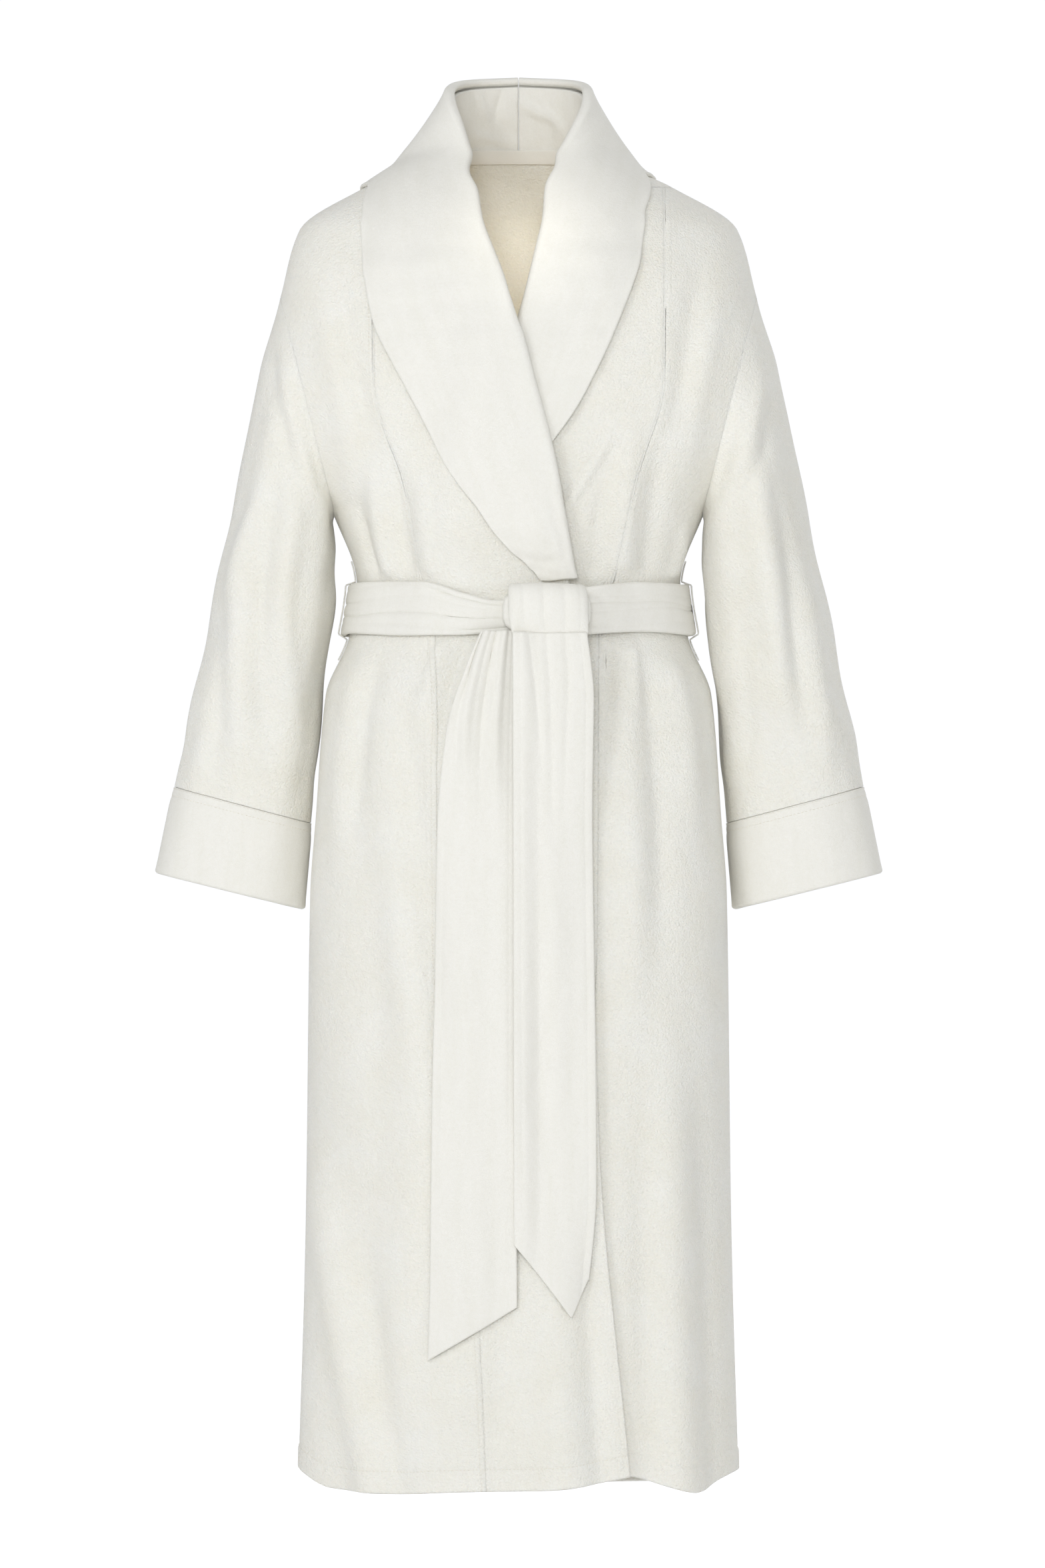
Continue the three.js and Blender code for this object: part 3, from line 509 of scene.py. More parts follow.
def sheared_velour():
    """Cotton velour, whose loops are cut level. It is smooth, with a soft nap that lies one way, so broad
    faint strokes of light and dark run along it over a fine even grain."""
    made, tree = new_material("sheared cotton velour")
    place = node(tree, "ShaderNodeTexCoord").outputs["UV"]
    solid = node(tree, "ShaderNodeTexCoord").outputs["Object"]
    pile = node(tree, "ShaderNodeTexNoise", Vector=solid, Scale=1500, Detail=2, Roughness=0.6)
    grain = node(tree, "ShaderNodeTexNoise", Vector=solid, Scale=420, Detail=3, Roughness=0.6)
    long_way = node(tree, "ShaderNodeMapping", Vector=place, Scale=(1.0, 0.16, 1.0))
    nap = node(tree, "ShaderNodeTexNoise", Vector=long_way.outputs[0], Scale=85, Detail=4, Roughness=0.55)
    crush = node(tree, "ShaderNodeTexNoise", Vector=solid, Scale=45, Detail=3, Roughness=0.5, Distortion=0.4)
    fine = node(tree, "ShaderNodeMath", ADD_SHARE, _0=grain.outputs[0], _1=0.8, _2=pile.outputs[0])
    height = node(tree, "ShaderNodeMath", ADD_SHARE, _0=crush.outputs[0], _1=3.0, _2=fine.outputs[0])
    bump = node(tree, "ShaderNodeBump", Strength=0.5, Distance=0.0007, Height=height.outputs[0])
    strokes = node(tree, "ShaderNodeValToRGB", stops=[(0.3, "#EAE8DF"), (0.55, "#ECEAE2"), (0.75, "#EDEBE3")],
                   Fac=nap.outputs[0])
    speck = node(tree, "ShaderNodeValToRGB", stops=[(0.5, "#FAF9F6"), (1.0, "#FFFFFF")], Fac=fine.outputs[0])
    colour = node(tree, "ShaderNodeMix", TINT, Factor=1.0, _6=strokes.outputs[0], _7=speck.outputs[0])
    shader = node(tree, "ShaderNodeBsdfPrincipled", Base_Color=colour.outputs[2], Roughness=0.92, IOR=1.45,
                  Specular_IOR_Level=0.18, Sheen_Weight=0.12, Sheen_Roughness=0.45, Normal=bump.outputs[0])
    node(tree, "ShaderNodeOutputMaterial", Surface=shader.outputs[0])
    return made


def twill_tape():
    """Narrow cotton tape in a twill weave: diagonal ribs about 0.9 mm apart, firmer and creamier than the
    towelling."""
    made, tree = new_material("woven cotton twill tape")
    place = node(tree, "ShaderNodeTexCoord").outputs["UV"]
    turned = node(tree, "ShaderNodeMapping", Vector=place, Rotation=(0, 0, math.radians(55)))
    ribs = node(tree, "ShaderNodeTexWave", {"wave_type": "BANDS"}, Vector=turned.outputs[0], Scale=350,
                Distortion=0.6, Detail=2)
    bump = node(tree, "ShaderNodeBump", Strength=0.6, Distance=0.0003, Height=ribs.outputs[0])
    colour = node(tree, "ShaderNodeValToRGB", stops=[(0.0, "#E9E5DA"), (1.0, "#F1EEE5")], Fac=ribs.outputs[0])
    shader = node(tree, "ShaderNodeBsdfPrincipled", Base_Color=colour.outputs[0], Roughness=0.85, IOR=1.5,
                  Specular_IOR_Level=0.3, Sheen_Weight=0.15, Normal=bump.outputs[0])
    node(tree, "ShaderNodeOutputMaterial", Surface=shader.outputs[0])
    return made


def sewing_thread():
    """Two-ply cotton thread: a tight twist, slightly glossier than the cloth it is sunk into."""
    made, tree = new_material("spun cotton sewing thread")
    place = node(tree, "ShaderNodeTexCoord").outputs["Object"]
    twist = node(tree, "ShaderNodeTexNoise", Vector=place, Scale=1800, Detail=1)
    plies = [(0.3, "#E4DECF"), (0.7, "#F5F2E9")]
    colour = node(tree, "ShaderNodeValToRGB", stops=plies, Fac=twist.outputs[0])
    shader = node(tree, "ShaderNodeBsdfPrincipled", Base_Color=colour.outputs[0], Roughness=0.7, IOR=1.5,
                  Specular_IOR_Level=0.35)
    node(tree, "ShaderNodeOutputMaterial", Surface=shader.outputs[0])
    return made


TOWELLING, VELOUR, TAPE, SEWING = looped_terry(), sheared_velour(), twill_tape(), sewing_thread()
flat_sizes = {}


def placed(made, material, body, *nodes):
    """Gives a piece its material, hides the parts that it stands for, and attaches it to its body; where a
    tuple is given instead, its transform is only baked in.
    """
    made.data.materials.append(material)
    if nodes:
        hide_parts(*nodes)
    if isinstance(body, tuple):
        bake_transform(made)
    else:
        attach(made, body)
    return made


def cut_from(sheet, held, rests_on, with_pieces=()):
    """Records the flat size that a sheet was cut to."""
    width, length, area = sheet.size()
    flat_sizes[sheet.object.name] = (round(width, 3), round(length, 3), round(area, 4))


# ---- body panels ----
def side_angle(height):
    gap = (0.06 / through(FRONT_DEPTHS, height)) ** (1 / POWER)
    return np.maximum(armhole_angle(height), gap)


HEM_ROWS = (0, 0.6, 1.6, 3, 5, 8, 12, 16, 18.5, 20, 21, 22, 23.5, 26)


def hem_thickness(height):
    """The hem is turned up twice and sewn 21 mm above the edge, where it is pinched."""
    turned = 1 - smooth((height - 20) / 3)
    return TERRY + 1.8 * turned - 1.3 * bell((height - 21) / 1.5)


# How far the hem rises at each distance from the middle: it is lowest at the middle of each panel.
BACK_RISE = [(-197, 21), (-150, 5), (0, 0), (150, 4), (197, 18)]
RIGHT_RISE = [(-197, 21), (-167, 4), (-107, 0), (-60, 2), (30, 4), (97, 15)]
LEFT_RISE = [(-90, 10), (60, 12), (98, 16), (157, 0), (197, 18)]


def panel(name, heights, columns, start, stop, out, thick, turns, lifted=relief, rise=None):
    angle = start(heights)[:, None] + (stop(heights) - start(heights))[:, None] * columns[None, :]
    level = heights[:, None] + 0 * angle
    height = level
    if rise:
        height = level + through(rise, on_body(level, angle)[..., 0]) * (1 - smooth(level / 260))
    x = on_body(height, angle)[..., 0]
    points = off_body(height, angle, out(height, x) + lifted(height, angle))
    width = np.linalg.norm(np.diff(points, axis=1), axis=2).sum(1).mean()
    shares = (heights - heights[0]) / (heights[-1] - heights[0])
    sized = (shares, columns), (heights[-1] - heights[0], width)
    return Sheet(name, points, thick(level, x), *sized, turns)


def seam_lift(line, side):
    """A band's seam is lapped: its allowance lifts the panel's cloth by 0.6 mm over 8 mm from the seam."""
    def lift(height, angle):
        x = on_body(height, angle)[..., 0]
        away = (x - through(line, height)) * side
        lapped = smooth((away + 0.5) / 1) * (1 - smooth((away - 7.5) / 4))
        sewn = bell((away - 1.6) / 0.9) + bell((away - 7) / 1.1)
        return relief(height, angle) + 0.6 * lapped - 0.4 * sewn

    return lift


def under_seam(line, side):
    """The band's edge passes 4 mm under the panel's, below the panel top, and sinks to make room for it."""
    def sink(height, angle):
        x = on_body(height, angle)[..., 0]
        away = (x - through(line, height)) * side
        return relief(height, angle) - 1.2 * smooth((away + 0.4) / 2.4) * (height <= panel_top)

    return sink


def terry_thick(height, x):
    return hem_thickness(height)


NEAR_SEAM = (0, 0.3, 0.8, 1.6, 2.4, 4, 5.5, 6.5, 7, 7.8, 9, 11, 14)
panel_top = COLLARBASE - 2
body_heights = np.concatenate(
    [HEM_ROWS, np.linspace(30, panel_top - 2, 270), panel_top - np.array([1.2, 0.5, 0.1])]
)
back_heights = np.concatenate(
    [HEM_ROWS, np.linspace(30, ROBE_LENGTH - 2, 276), [ROBE_LENGTH - 1, ROBE_LENGTH - 0.3]]
)
butt = 0.35  # the radius of an edge that is sewn to its neighbour

back = panel(
    "back_panel_towelling", back_heights, edged(430, 118), lambda h: np.pi + side_angle(h),
    lambda h: 2 * np.pi - side_angle(h), flat_out, terry_thick, ((1.8, butt), (butt, butt)), rise=BACK_RISE,
)
left_seam, right_seam = BAND_SEAM, [(h, -x) for h, x in BAND_SEAM]
left_front = panel(
    "left_front_towelling", body_heights, edged(160, 46, end=NEAR_SEAM[::-1]), side_angle,
    lambda h: angle_at(h, through(left_seam, h) + 0.05), flat_out, terry_thick,
    ((1.8, butt), (butt, 1)), seam_lift(left_seam, 1), LEFT_RISE,
)
right_front = panel(
    "right_front_towelling", body_heights, edged(160, 46, end=NEAR_SEAM[::-1]),
    lambda h: np.pi - side_angle(h), lambda h: angle_at(h, through(right_seam, h) - 0.05), right_out,
    terry_thick,
    ((1.8, butt), (butt, 1)), seam_lift(right_seam, -1), RIGHT_RISE,
)

ROLL_RADIUS = LAPEL_OUT / 2
ROLL_SHIFT = ROLL_RADIUS + COLLAR_CLOTH / 2 + SEAM_GAP


def band_edge(line, sign):
    """Above the sash the band stops short of the roll, where the collar begins."""
    def angle(height):
        short = ROLL_SHIFT + 2 * smooth((height - SHOULDER - 15) / 25)
        short = short * smooth((height - BELT_TOP + 10) / 10)
        return angle_at(height, through(line, height) - sign * short)

    return angle


def band_side(seam_angle, side):
    return lambda height: np.where(height <= panel_top, seam_angle(height), side(height))


left_band_side = band_side(lambda h: angle_at(h, through(left_seam, h) + 4), side_angle)
right_band_side = band_side(
    lambda h: angle_at(h, through(right_seam, h) - 4), lambda h: np.pi - side_angle(h)
)
left_band_edge, right_band_edge = band_edge(LEFT_EDGE, -1), band_edge(RIGHT_EDGE, 1)
band_heights = np.concatenate([
    body_heights, panel_top + np.array([0.1, 0.5, 1.5]), np.linspace(panel_top + 4, 1204, 9), [1204.7],
])
band_columns = edged(165, 50, start=(0, 0.3, 1, 2.5, 4, 5.5, 7, 9), end=(9, 8, 7, 5, 2.6, 1.6, 0.7, 0.2, 0))
band_turns = ((1.8, butt), (0.6, 2))
left_band = panel("left_front_band_towelling", band_heights, band_columns, left_band_side, left_band_edge,
                  flat_out, terry_thick, band_turns, under_seam(left_seam, 1), LEFT_RISE)
right_band = panel("right_front_band_towelling", band_heights, band_columns, right_band_side, right_band_edge,
                   right_out, terry_thick, band_turns, under_seam(right_seam, -1), RIGHT_RISE)

FACING_DROP = TERRY / 2 + FACING / 2 + SEAM_GAP + 1.4
facing_heights = np.concatenate([(3, 3.5, 4.5, 8, 14), np.linspace(20, 808, 130), [809, 809.6]])
facing_columns = edged(140, 26, end=(3, 1.3, 0.5, 0))


def facing_thick(height, x):
    return FACING + 0 * x


left_facing = panel("left_front_facing_velour", facing_heights, facing_columns, left_band_side,
                    left_band_edge, lambda h, x: -FACING_DROP + 0 * x, facing_thick,
                    ((1.2, 1.2), (1.2, 1.2)), rise=LEFT_RISE)
right_facing = panel("right_front_facing_velour", facing_heights, facing_columns, right_band_side,
                     right_band_edge, lambda h, x: right_out(h, x) - FACING_DROP, facing_thick,
                     ((1.2, 1.2), (1.2, 1.2)), rise=RIGHT_RISE)

for sheet, material, node_name in [
    (back, TOWELLING, "back_panel"),
    (left_front, TOWELLING, "left_front_panel"),
    (right_front, TOWELLING, "right_front_panel"),
    (left_band, TOWELLING, "left_front_band"),
    (right_band, TOWELLING, "right_front_band"),
    (left_facing, VELOUR, "left_front_facing"),
    (right_facing, VELOUR, "right_front_facing"),
]:
    placed(sheet.object, material, "robe", node_name)

HEM_STITCHES = 22
stitched("hem_and_seam_stitches", back.level_line(True, HEM_STITCHES))
for front in (left_front, right_front):
    lines = front.level_line(True, HEM_STITCHES), front.upward_line(False, 1.6), front.upward_line(False, 7)
    stitched("hem_and_seam_stitches", *lines)
for band in (left_band, right_band):
    stitched("hem_and_seam_stitches", band.level_line(True, HEM_STITCHES))


# ---- pocket bags ----
def pocket_bag(name, sign):
    """Two cloths sewn round three sides: a flat bag that hangs inside the front from the side seam."""
    heights = lerp(546, 744, edged(198, 40, (0, 0.8, 2, 3)))
    columns = edged(100, 24, (0, 0.8, 2, 3))
    inner = angle_at(heights, lerp(96.0, 112.0, smooth((heights - 596) / 120)))
    angle = 0.05 + (inner - 0.05)[:, None] * columns
    angle = angle if sign > 0 else np.pi - angle
    height = heights[:, None] + 0 * angle
    points = off_body(height, angle, -8.6 + 0.7 * relief(height, angle))
    return Sheet(name, points, 4.4, ((heights - 546) / 198, columns), (198, 100))


left_bag = pocket_bag("left_pocket_bag_towelling", 1)
right_bag = pocket_bag("right_pocket_bag_towelling", -1)
placed(left_bag.object, TOWELLING, "robe", "left_pocket_bag")
placed(right_bag.object, TOWELLING, "robe", "right_pocket_bag")

# ---- collar ----
HALF = math.pi
BACK = math.pi * 1.5
EDGE_LIES, EDGE_THINS, COLLAR_SMOOTHINGS = 2.1, 1.4, 24
# Stations along each lapel: the roll's height and x, then the edge's height and x.
RIGHT_LAPEL = [
    (820, 48, 817, 20), (851, 43, 837, 6), (885, 37, 868, -23), (943, 27, 921, -62), (1000, 12, 971, -89),
    (1045, -1, 1012, -111), (1085, -14, 1044, -127), (1126, -29, 1088, -137), (1166, -38, 1143, -140),
    (1196, -44, 1173, -135),
]
LEFT_LAPEL = [
    (820, -50, 817, -26), (851, -46, 839, -16), (885, -40, 866, -8), (943, -28, 921, 16),
    (1000, -14, 974, 52), (1045, -2, 1014, 73), (1085, 10, 1053, 90), (1130, 21, 1095, 106),
    (1171, 26, 1145, 113), (1196, 35, 1183, 113),
]
# Then round the neck: the roll's height and angle, the edge's share down to the centre back, and its angle.
AROUND_NECK = [
    (1239, HALF - 0.58, 0.2, HALF + 0.3), (1264, HALF + 0.1, 0.5, HALF + 0.75),
    (1271, HALF + 0.75, 0.8, HALF + 1.1), (1274, BACK - 0.002, 1, BACK - 0.002),
]


def collar_half(name, lapel, turned, shoulder_edge, out, waves):
    """Half a shawl collar: the cloth turns over at the roll line and lies back on the front and shoulder."""
    table = [(h, angle_at(h, x), e, angle_at(e, ex)) for h, x, e, ex in lapel]
    table += [
        (h, turned(a), lerp(shoulder_edge, COLLAR_BACK_EDGE, r), turned(e)) for h, a, r, e in AROUND_NECK
    ]
    last = len(table) - 1
    at = edged(last, 170, start=(0, 0.004, 0.012, 0.03), end=(0.01, 0.005, 0.002, 0)) * last
    roll_h, roll_a, edge_h, edge_a = (through(list(enumerate(column)), at) for column in zip(*table))
    width = np.linalg.norm(on_body(roll_h, roll_a) - on_body(edge_h, edge_a), axis=-1)
    turn_angle = np.linspace(0, math.pi, 13)
    reach = np.concatenate([1 - np.sin(turn_angle), [1.6, 2.4]])[None] * (ROLL_RADIUS / width)[:, None]
    rise = np.concatenate([ROLL_RADIUS * (1 - np.cos(turn_angle)), [2 * ROLL_RADIUS] * 2])
    rest = edged(1, 34, start=(0,), end=(0.034, 0.022, 0.012, 0.005, 0.0015, 0))[1:]
    share = np.concatenate([reach, reach[:, -1:] + (1 - reach[:, -1:]) * rest[None]], 1)
    rise = np.concatenate([rise, np.full(len(rest), 2 * ROLL_RADIUS)])[None] + 0 * share
    height = roll_h[:, None] + (edge_h - roll_h)[:, None] * share
    angle = roll_a[:, None] + (edge_a - roll_a)[:, None] * share
    row = at[:, None] + 0 * share
    lift = LAPEL_REST + 0.6 * smooth((row - 6) / 2) + 2.5 * smooth((row - 9) / 3)
    x = on_body(height, angle)[..., 0]
    over = smooth((share - 0.05) / 0.2)
    puff = over * (1 - share) * share * 4
    wave = sum(l * bell((row - r) / w) * bell((share - s) / t) for r, w, s, t, l in waves)
    ripple = 0.5 * np.sin(row * 5.1 + share * 4) * np.sin(share * 7 + row)
    ripple = ripple + 0.35 * np.sin(row * 11 - share * 9)
    laid = smooth((share - 0.6) / 0.4) * smooth((row - 6) / 2)
    stand = lift * (1 - laid) * smooth(share * 2) - EDGE_LIES * laid + over * (1.6 * puff + wave + ripple)
    points = off_body(height, angle, out(height, x) + rise + stand + relief(height, angle))
    outward = unit(off_body(height, angle, 10) - off_body(height, angle, 0))
    # Past the roll the cloth is taut: it never dips below the chord from the roll to its edge.
    turned_over = len(turn_angle) - 1
    roll_share, roll = share[:, turned_over, None], points[:, turned_over, None]
    far = np.clip((share - roll_share) / (1 - roll_share), 0, 1)
    taut = roll * (1 - far)[..., None] + points[:, -1:] * far[..., None]
    short = ((taut - points) * outward).sum(-1) * smooth((row - 6.5) / 2)
    points = points + (taut - points) * smooth((short + 0.5) / 2)[..., None] * (far > 0)[..., None]
    # The cloth evens itself out where it leaves the shoulder, and along its length short of the centre seam.
    # The roll and the last few columns at the edge stay as they are.
    inner_row = row[1:-1, turned_over + 1:-6]
    eased = smooth((inner_row - 7) / 1.5)[..., None]
    lengthwise = 0.5 * (1 - smooth((inner_row - last + 2.2) / 1.2))[..., None]
    for _ in range(COLLAR_SMOOTHINGS):
        inner = points[1:-1, turned_over + 1:-6]
        across = (points[1:-1, turned_over:-7] + points[1:-1, turned_over + 2:-5]) / 2
        along = (points[:-2, turned_over + 1:-6] + points[2:, turned_over + 1:-6]) / 2
        points[1:-1, turned_over + 1:-6] = lerp(inner, lerp(across, along, lengthwise), eased)
    points[-1] = points[-2] * np.array([0, 1, 1]) + points[-1] * np.array([1, 0, 0])
    length = np.linalg.norm(np.diff(points[:, -1], axis=0), axis=1).sum()
    mean_width = np.linalg.norm(np.diff(points, axis=1), axis=2).sum(1).mean()
    columns = np.linalg.norm(np.diff(points, axis=1), axis=2).mean(0).cumsum()
    columns = np.concatenate([[0], columns]) / mean_width
    sewn = bell(((1 - share) * width[:, None] - 6) / 2.5)
    thick = COLLAR_CLOTH + 0.5 * puff - 0.5 * sewn - EDGE_THINS * laid
    return Sheet(name, points, thick, (at / last, columns), (length, mean_width), ((2, 0.3), (0.4, 2.2)))


# Waves in the lapels: the station, its spread, the share across, its spread and the lift.
RIGHT_WAVES = [
    (1.6, 0.5, 0.7, 0.5, 1.6), (3.0, 0.5, 0.85, 0.3, -1.4), (4.2, 0.8, 0.45, 0.25, 1.5),
    (6.2, 0.9, 0.6, 0.3, -1.2), (8.2, 0.7, 0.4, 0.3, 1.4), (10.2, 0.6, 0.6, 0.4, 1.2),
    (12, 0.6, 0.6, 0.3, -1.2), (0.8, 0.25, 0.6, 0.6, -1.4),
]
LEFT_WAVES = [
    (3.6, 0.6, 0.7, 0.4, 1.4), (5.2, 0.6, 0.5, 0.3, -1.3), (6.8, 0.7, 0.75, 0.3, 1.3),
    (8.6, 0.7, 0.4, 0.4, -1.1), (10.6, 0.7, 0.7, 0.3, 1.3), (12.2, 0.6, 0.5, 0.3, 1.2),
]
right_collar = collar_half("right_collar_velour", RIGHT_LAPEL, lambda a: a, 1173, right_out, RIGHT_WAVES)
left_collar = collar_half("left_collar_velour", LEFT_LAPEL, lambda a: HALF - a, 1185, flat_out, LEFT_WAVES)
placed(right_collar.object, VELOUR, "robe", "right_collar")
placed(left_collar.object, VELOUR, "robe", "left_collar")

STAND_TOP = [
    (HALF - 0.93, 1205), (HALF - 0.82, 1217), (HALF - 0.58, 1239), (HALF + 0.1, 1264), (HALF + 0.75, 1271),
    (BACK, 1274),
]
# Creases in the stand: x and height of the middle, lean, width, length and depth.
STAND_WRINKLES = [
    (-30, 40, 0.5, 4, 16, 1.5), (-16, 48, -0.2, 3.5, 14, -1.2), (6, 46, 0.9, 4, 12, 1.3),
    (18, 38, 1.2, 4, 14, 1.5), (30, 34, 0.7, 4, 15, 1.3), (-22, 16, 1.3, 3.5, 18, 1.3),
    (-8, 26, 0.8, 4, 12, -1.0), (34, 18, -0.6, 4, 14, 1.2),
]


def stand_half(name, sign):
    """The stand rises inside the collar from the neck seam to the roll, with a few upright wrinkles."""
    columns = edged(120, 60)
    shares = edged(60, 24)
    angles = lerp(HALF - 0.62, BACK - 0.001, columns)
    top = through(STAND_TOP, angles - 0.1) - ROLL_SHIFT + 0.2
    foot = ROBE_LENGTH + 0.25
    height = foot + (top - foot)[None, :] * shares[:, None]
    angle = angles[None, :] + 0 * height
    wrinkle = 1.1 * bell((angle - BACK + 0.35 + 0.2 * sign) / 0.09)
    wrinkle = (wrinkle + 0.9 * bell((angle - BACK + 0.85) / 0.12)) * np.sin(np.pi * shares)[:, None]
    wrinkle = wrinkle - 0.8 * bell((height - 1219) / 7) * np.sin(angle * 9 + sign)
    across, up = (angle - BACK) * 62, height - ROBE_LENGTH
    for x, z, lean, width, length, depth in STAND_WRINKLES:
        side = (across * -sign - x) * math.cos(lean) + (up - z) * math.sin(lean)
        along = (up - z) * math.cos(lean) - (across * -sign - x) * math.sin(lean)
        crease = bell(side / width) * bell(along / length)
        wrinkle = wrinkle + 1.6 * depth * crease * smooth(up / 6)
    points = off_body(height, angle, -wrinkle)
    if sign > 0:
        points = points * np.array([-1, 1, 1])
    return Sheet(name, points, COLLAR_CLOTH, (shares, columns), (60, 130), ((1, 0.4), (1, 0.3)))


right_stand = stand_half("right_collar_stand_velour", -1)
left_stand = stand_half("left_collar_stand_velour", 1)
placed(right_stand.object, VELOUR, "robe", "right_collar_stand")
placed(left_stand.object, VELOUR, "robe", "left_collar_stand")

# ---- neck tape and hanging loop ----
tape_heights = lerp(1199, 1211, edged(12, 7, (0, 0.3, 0.7)))
tape_columns = edged(160, 60, (0, 0.3, 0.7))
neck_tape = panel(
    "neck_tape_twill", tape_heights, tape_columns,
    lambda h: HALF + 0.25 + 0 * h, lambda h: 2 * HALF - 0.25 + 0 * h,
    lambda h, x: -3.9 + 0 * x, lambda h, x: 1.3 + 0 * x, ((0.6, 0.6), (0.6, 0.6)), lambda h, a: 0 * a,
)
placed(neck_tape.object, TAPE, "robe", "neck_tape")


def hanging_loop():
    """A narrow tape that hangs in a U from the back of the neck seam."""
    radius, top = 20.0, 1202.0
    bend = top - 42 + radius
    turn = np.linspace(0, np.pi, 26)
    x = np.concatenate([np.full(10, -radius), -radius * np.cos(turn), np.full(10, radius)])
    down = np.linspace(top, bend, 11)[:-1]
    height = np.concatenate([down, bend - radius * np.sin(turn), down[::-1]])
    along = unit(np.stack([np.gradient(x), np.gradient(height)], -1))
    side = np.array([-3.0, -2.7, -2, -1, 0, 1, 2, 2.7, 3.0])
    sx = x[:, None] + side * along[:, 1:2]
    sh = height[:, None] - side * along[:, :1]
    # It stands clear of the back by the same amount as its solid.
    points = off_body(sh, 2 * HALF - angle_at(sh, sx), 3.9 + 0 * sx)
    shares = np.linspace(0, 1, len(x))
    turns = ((0.5, 0.5), (0.5, 0.5))
    return Sheet("hanging_loop_twill", points, 1.2, (shares, (side + 3) / 6), (106, 6), turns)


loop = hanging_loop()
placed(loop.object, TAPE, "robe", "hanging_loop")

# ---- sleeves ----
SLEEVE_SHARES = [0, 0.06, 0.14, 0.24, 0.36, 0.5, 0.66, 0.82, 1]
OVER_HEIGHTS = list(zip(SLEEVE_SHARES, [1075, 1042, 1000, 950, 893, 830, 760, 697, 634]))
UNDER_HEIGHTS = list(zip(SLEEVE_SHARES, [885, 878, 869, 856, 836, 800, 738, 672, 602]))
UNDER_X = [(526, 192), (605, 185), (672, 179), (716, 174), (768, 168), (816, 163), (850, 163), (885, 167)]
SLEEVE_DEPTHS = [(0, 64), (0.3, 70), (0.55, 66), (1, 44), (1.2, 43)]
SLEEVE_Y = [(0, 1), (1.2, 12)]
SLEEVE_CLEAR = TERRY + 0.6
PLANE_TILT = math.atan2(213 - 167, DROP - ARMPIT)
PLANE_NORMAL = np.array([math.cos(PLANE_TILT), 0, -math.sin(PLANE_TILT)])


def sleeve_line(heights, share):
    return np.where(share <= 1, through(heights, share), heights[-1][1] - (share - 1) * 5 * 78)


def on_sleeve(angle, share):
    """A point of the left sleeve. Angle 0 is the top of the arm, and a quarter turn is the front."""
    over, under = sleeve_line(OVER_HEIGHTS, share), sleeve_line(UNDER_HEIGHTS, share)
    over_x = 213 + (DROP - over) * 0.208
    level = (1 + np.cos(angle)) / 2
    height = lerp(under, over, level)
    tube_y = through(SLEEVE_Y, share) - through(SLEEVE_DEPTHS, share) * np.sin(angle)
    joined = 1 - smooth(share / 0.3)
    depth = np.where(np.sin(angle) > 0, through(FRONT_DEPTHS, height), through(BACK_DEPTHS, height))
    opening = np.sin(ARMHOLE_OPEN * np.abs(np.sin(angle))) ** POWER
    hole_y = through(SIDE_SEAM_Y, height) - np.sign(np.sin(angle)) * depth * opening
    clear = SLEEVE_CLEAR * smooth(share / 0.12)
    x = lerp(through(UNDER_X, under), over_x, level) + clear * PLANE_NORMAL[0]
    return np.stack([x, lerp(tube_y, hole_y, joined), height + clear * PLANE_NORMAL[2]], -1)


# Folds whose lines are (height, distance out from the middle): each sleeve's front, then both sleeves' backs.
LEFT_ARM_FRONT = [
    ([(640, 236), (760, 232), (900, 216), (1010, 204)], 11, 4.2, (0.35, 0.3)),
    ([(640, 262), (780, 246), (930, 236)], 9, -3.2, (0.35, 0.4)),
    ([(600, 284), (720, 270), (840, 256)], 10, 3.6, (0.4, 0.4)),
    ([(620, 212), (720, 206), (840, 194)], 9, -3.0, (0.4, 0.4)),
    ([(850, 178), (930, 200), (1030, 226)], 9, 3.2, (0.3, 0.4)),
    ([(870, 196), (950, 222), (1040, 240)], 8, -2.6, (0.3, 0.4)),
]
RIGHT_ARM_FRONT = [
    ([(650, 200), (780, 212), (930, 196)], 10, 4.6, (0.4, 0.4)),
    ([(630, 222), (760, 234), (900, 222), (1000, 214)], 10, -3.8, (0.35, 0.4)),
    ([(620, 252), (760, 252), (900, 240)], 12, 4.4, (0.35, 0.4)),
    ([(610, 278), (720, 268), (820, 258)], 9, -3.0, (0.4, 0.4)),
    ([(860, 176), (940, 196), (1060, 214)], 8, 3.4, (0.3, 0.4)),
    ([(880, 190), (980, 216), (1070, 226)], 8, -3.0, (0.3, 0.4)),
    ([(780, 268), (850, 246), (930, 222)], 8, 2.4, (0.4, 0.4)),
]
ARM_BACK = [
    ([(640, 222), (760, 224), (920, 204)], 13, 4.4, (0.35, 0.4)),
    ([(630, 246), (770, 242), (900, 232)], 11, -3.6, (0.35, 0.4)),
    ([(620, 272), (740, 262), (860, 250)], 11, 3.6, (0.4, 0.4)),
    ([(860, 186), (950, 206), (1040, 222)], 10, 3.2, (0.3, 0.4)),
]


def arm_relief(height, x, angle, share, front_folds, phase):
    front, back_side = (sum(fold(x, height, *each) for each in folds) for folds in (front_folds, ARM_BACK))
    facing = np.sin(angle)
    total = 1.35 * (front * smooth(facing / 0.5) + back_side * smooth(-facing / 0.5))
    ring = 1.3 * np.sin(share * 23 + angle * 2 + phase)
    ring = ring * smooth((share - 0.2) / 0.3) * (1 - smooth((share - 0.85) / 0.12))
    long_wave = 1.2 * np.sin(angle * 5 + phase + share * 2) + 0.7 * np.sin(angle * 9 - phase + 3 * share)
    return (total + ring + long_wave) * smooth(share / 0.12) * lerp(1, 0.45, smooth((share - 0.9) / 0.12))


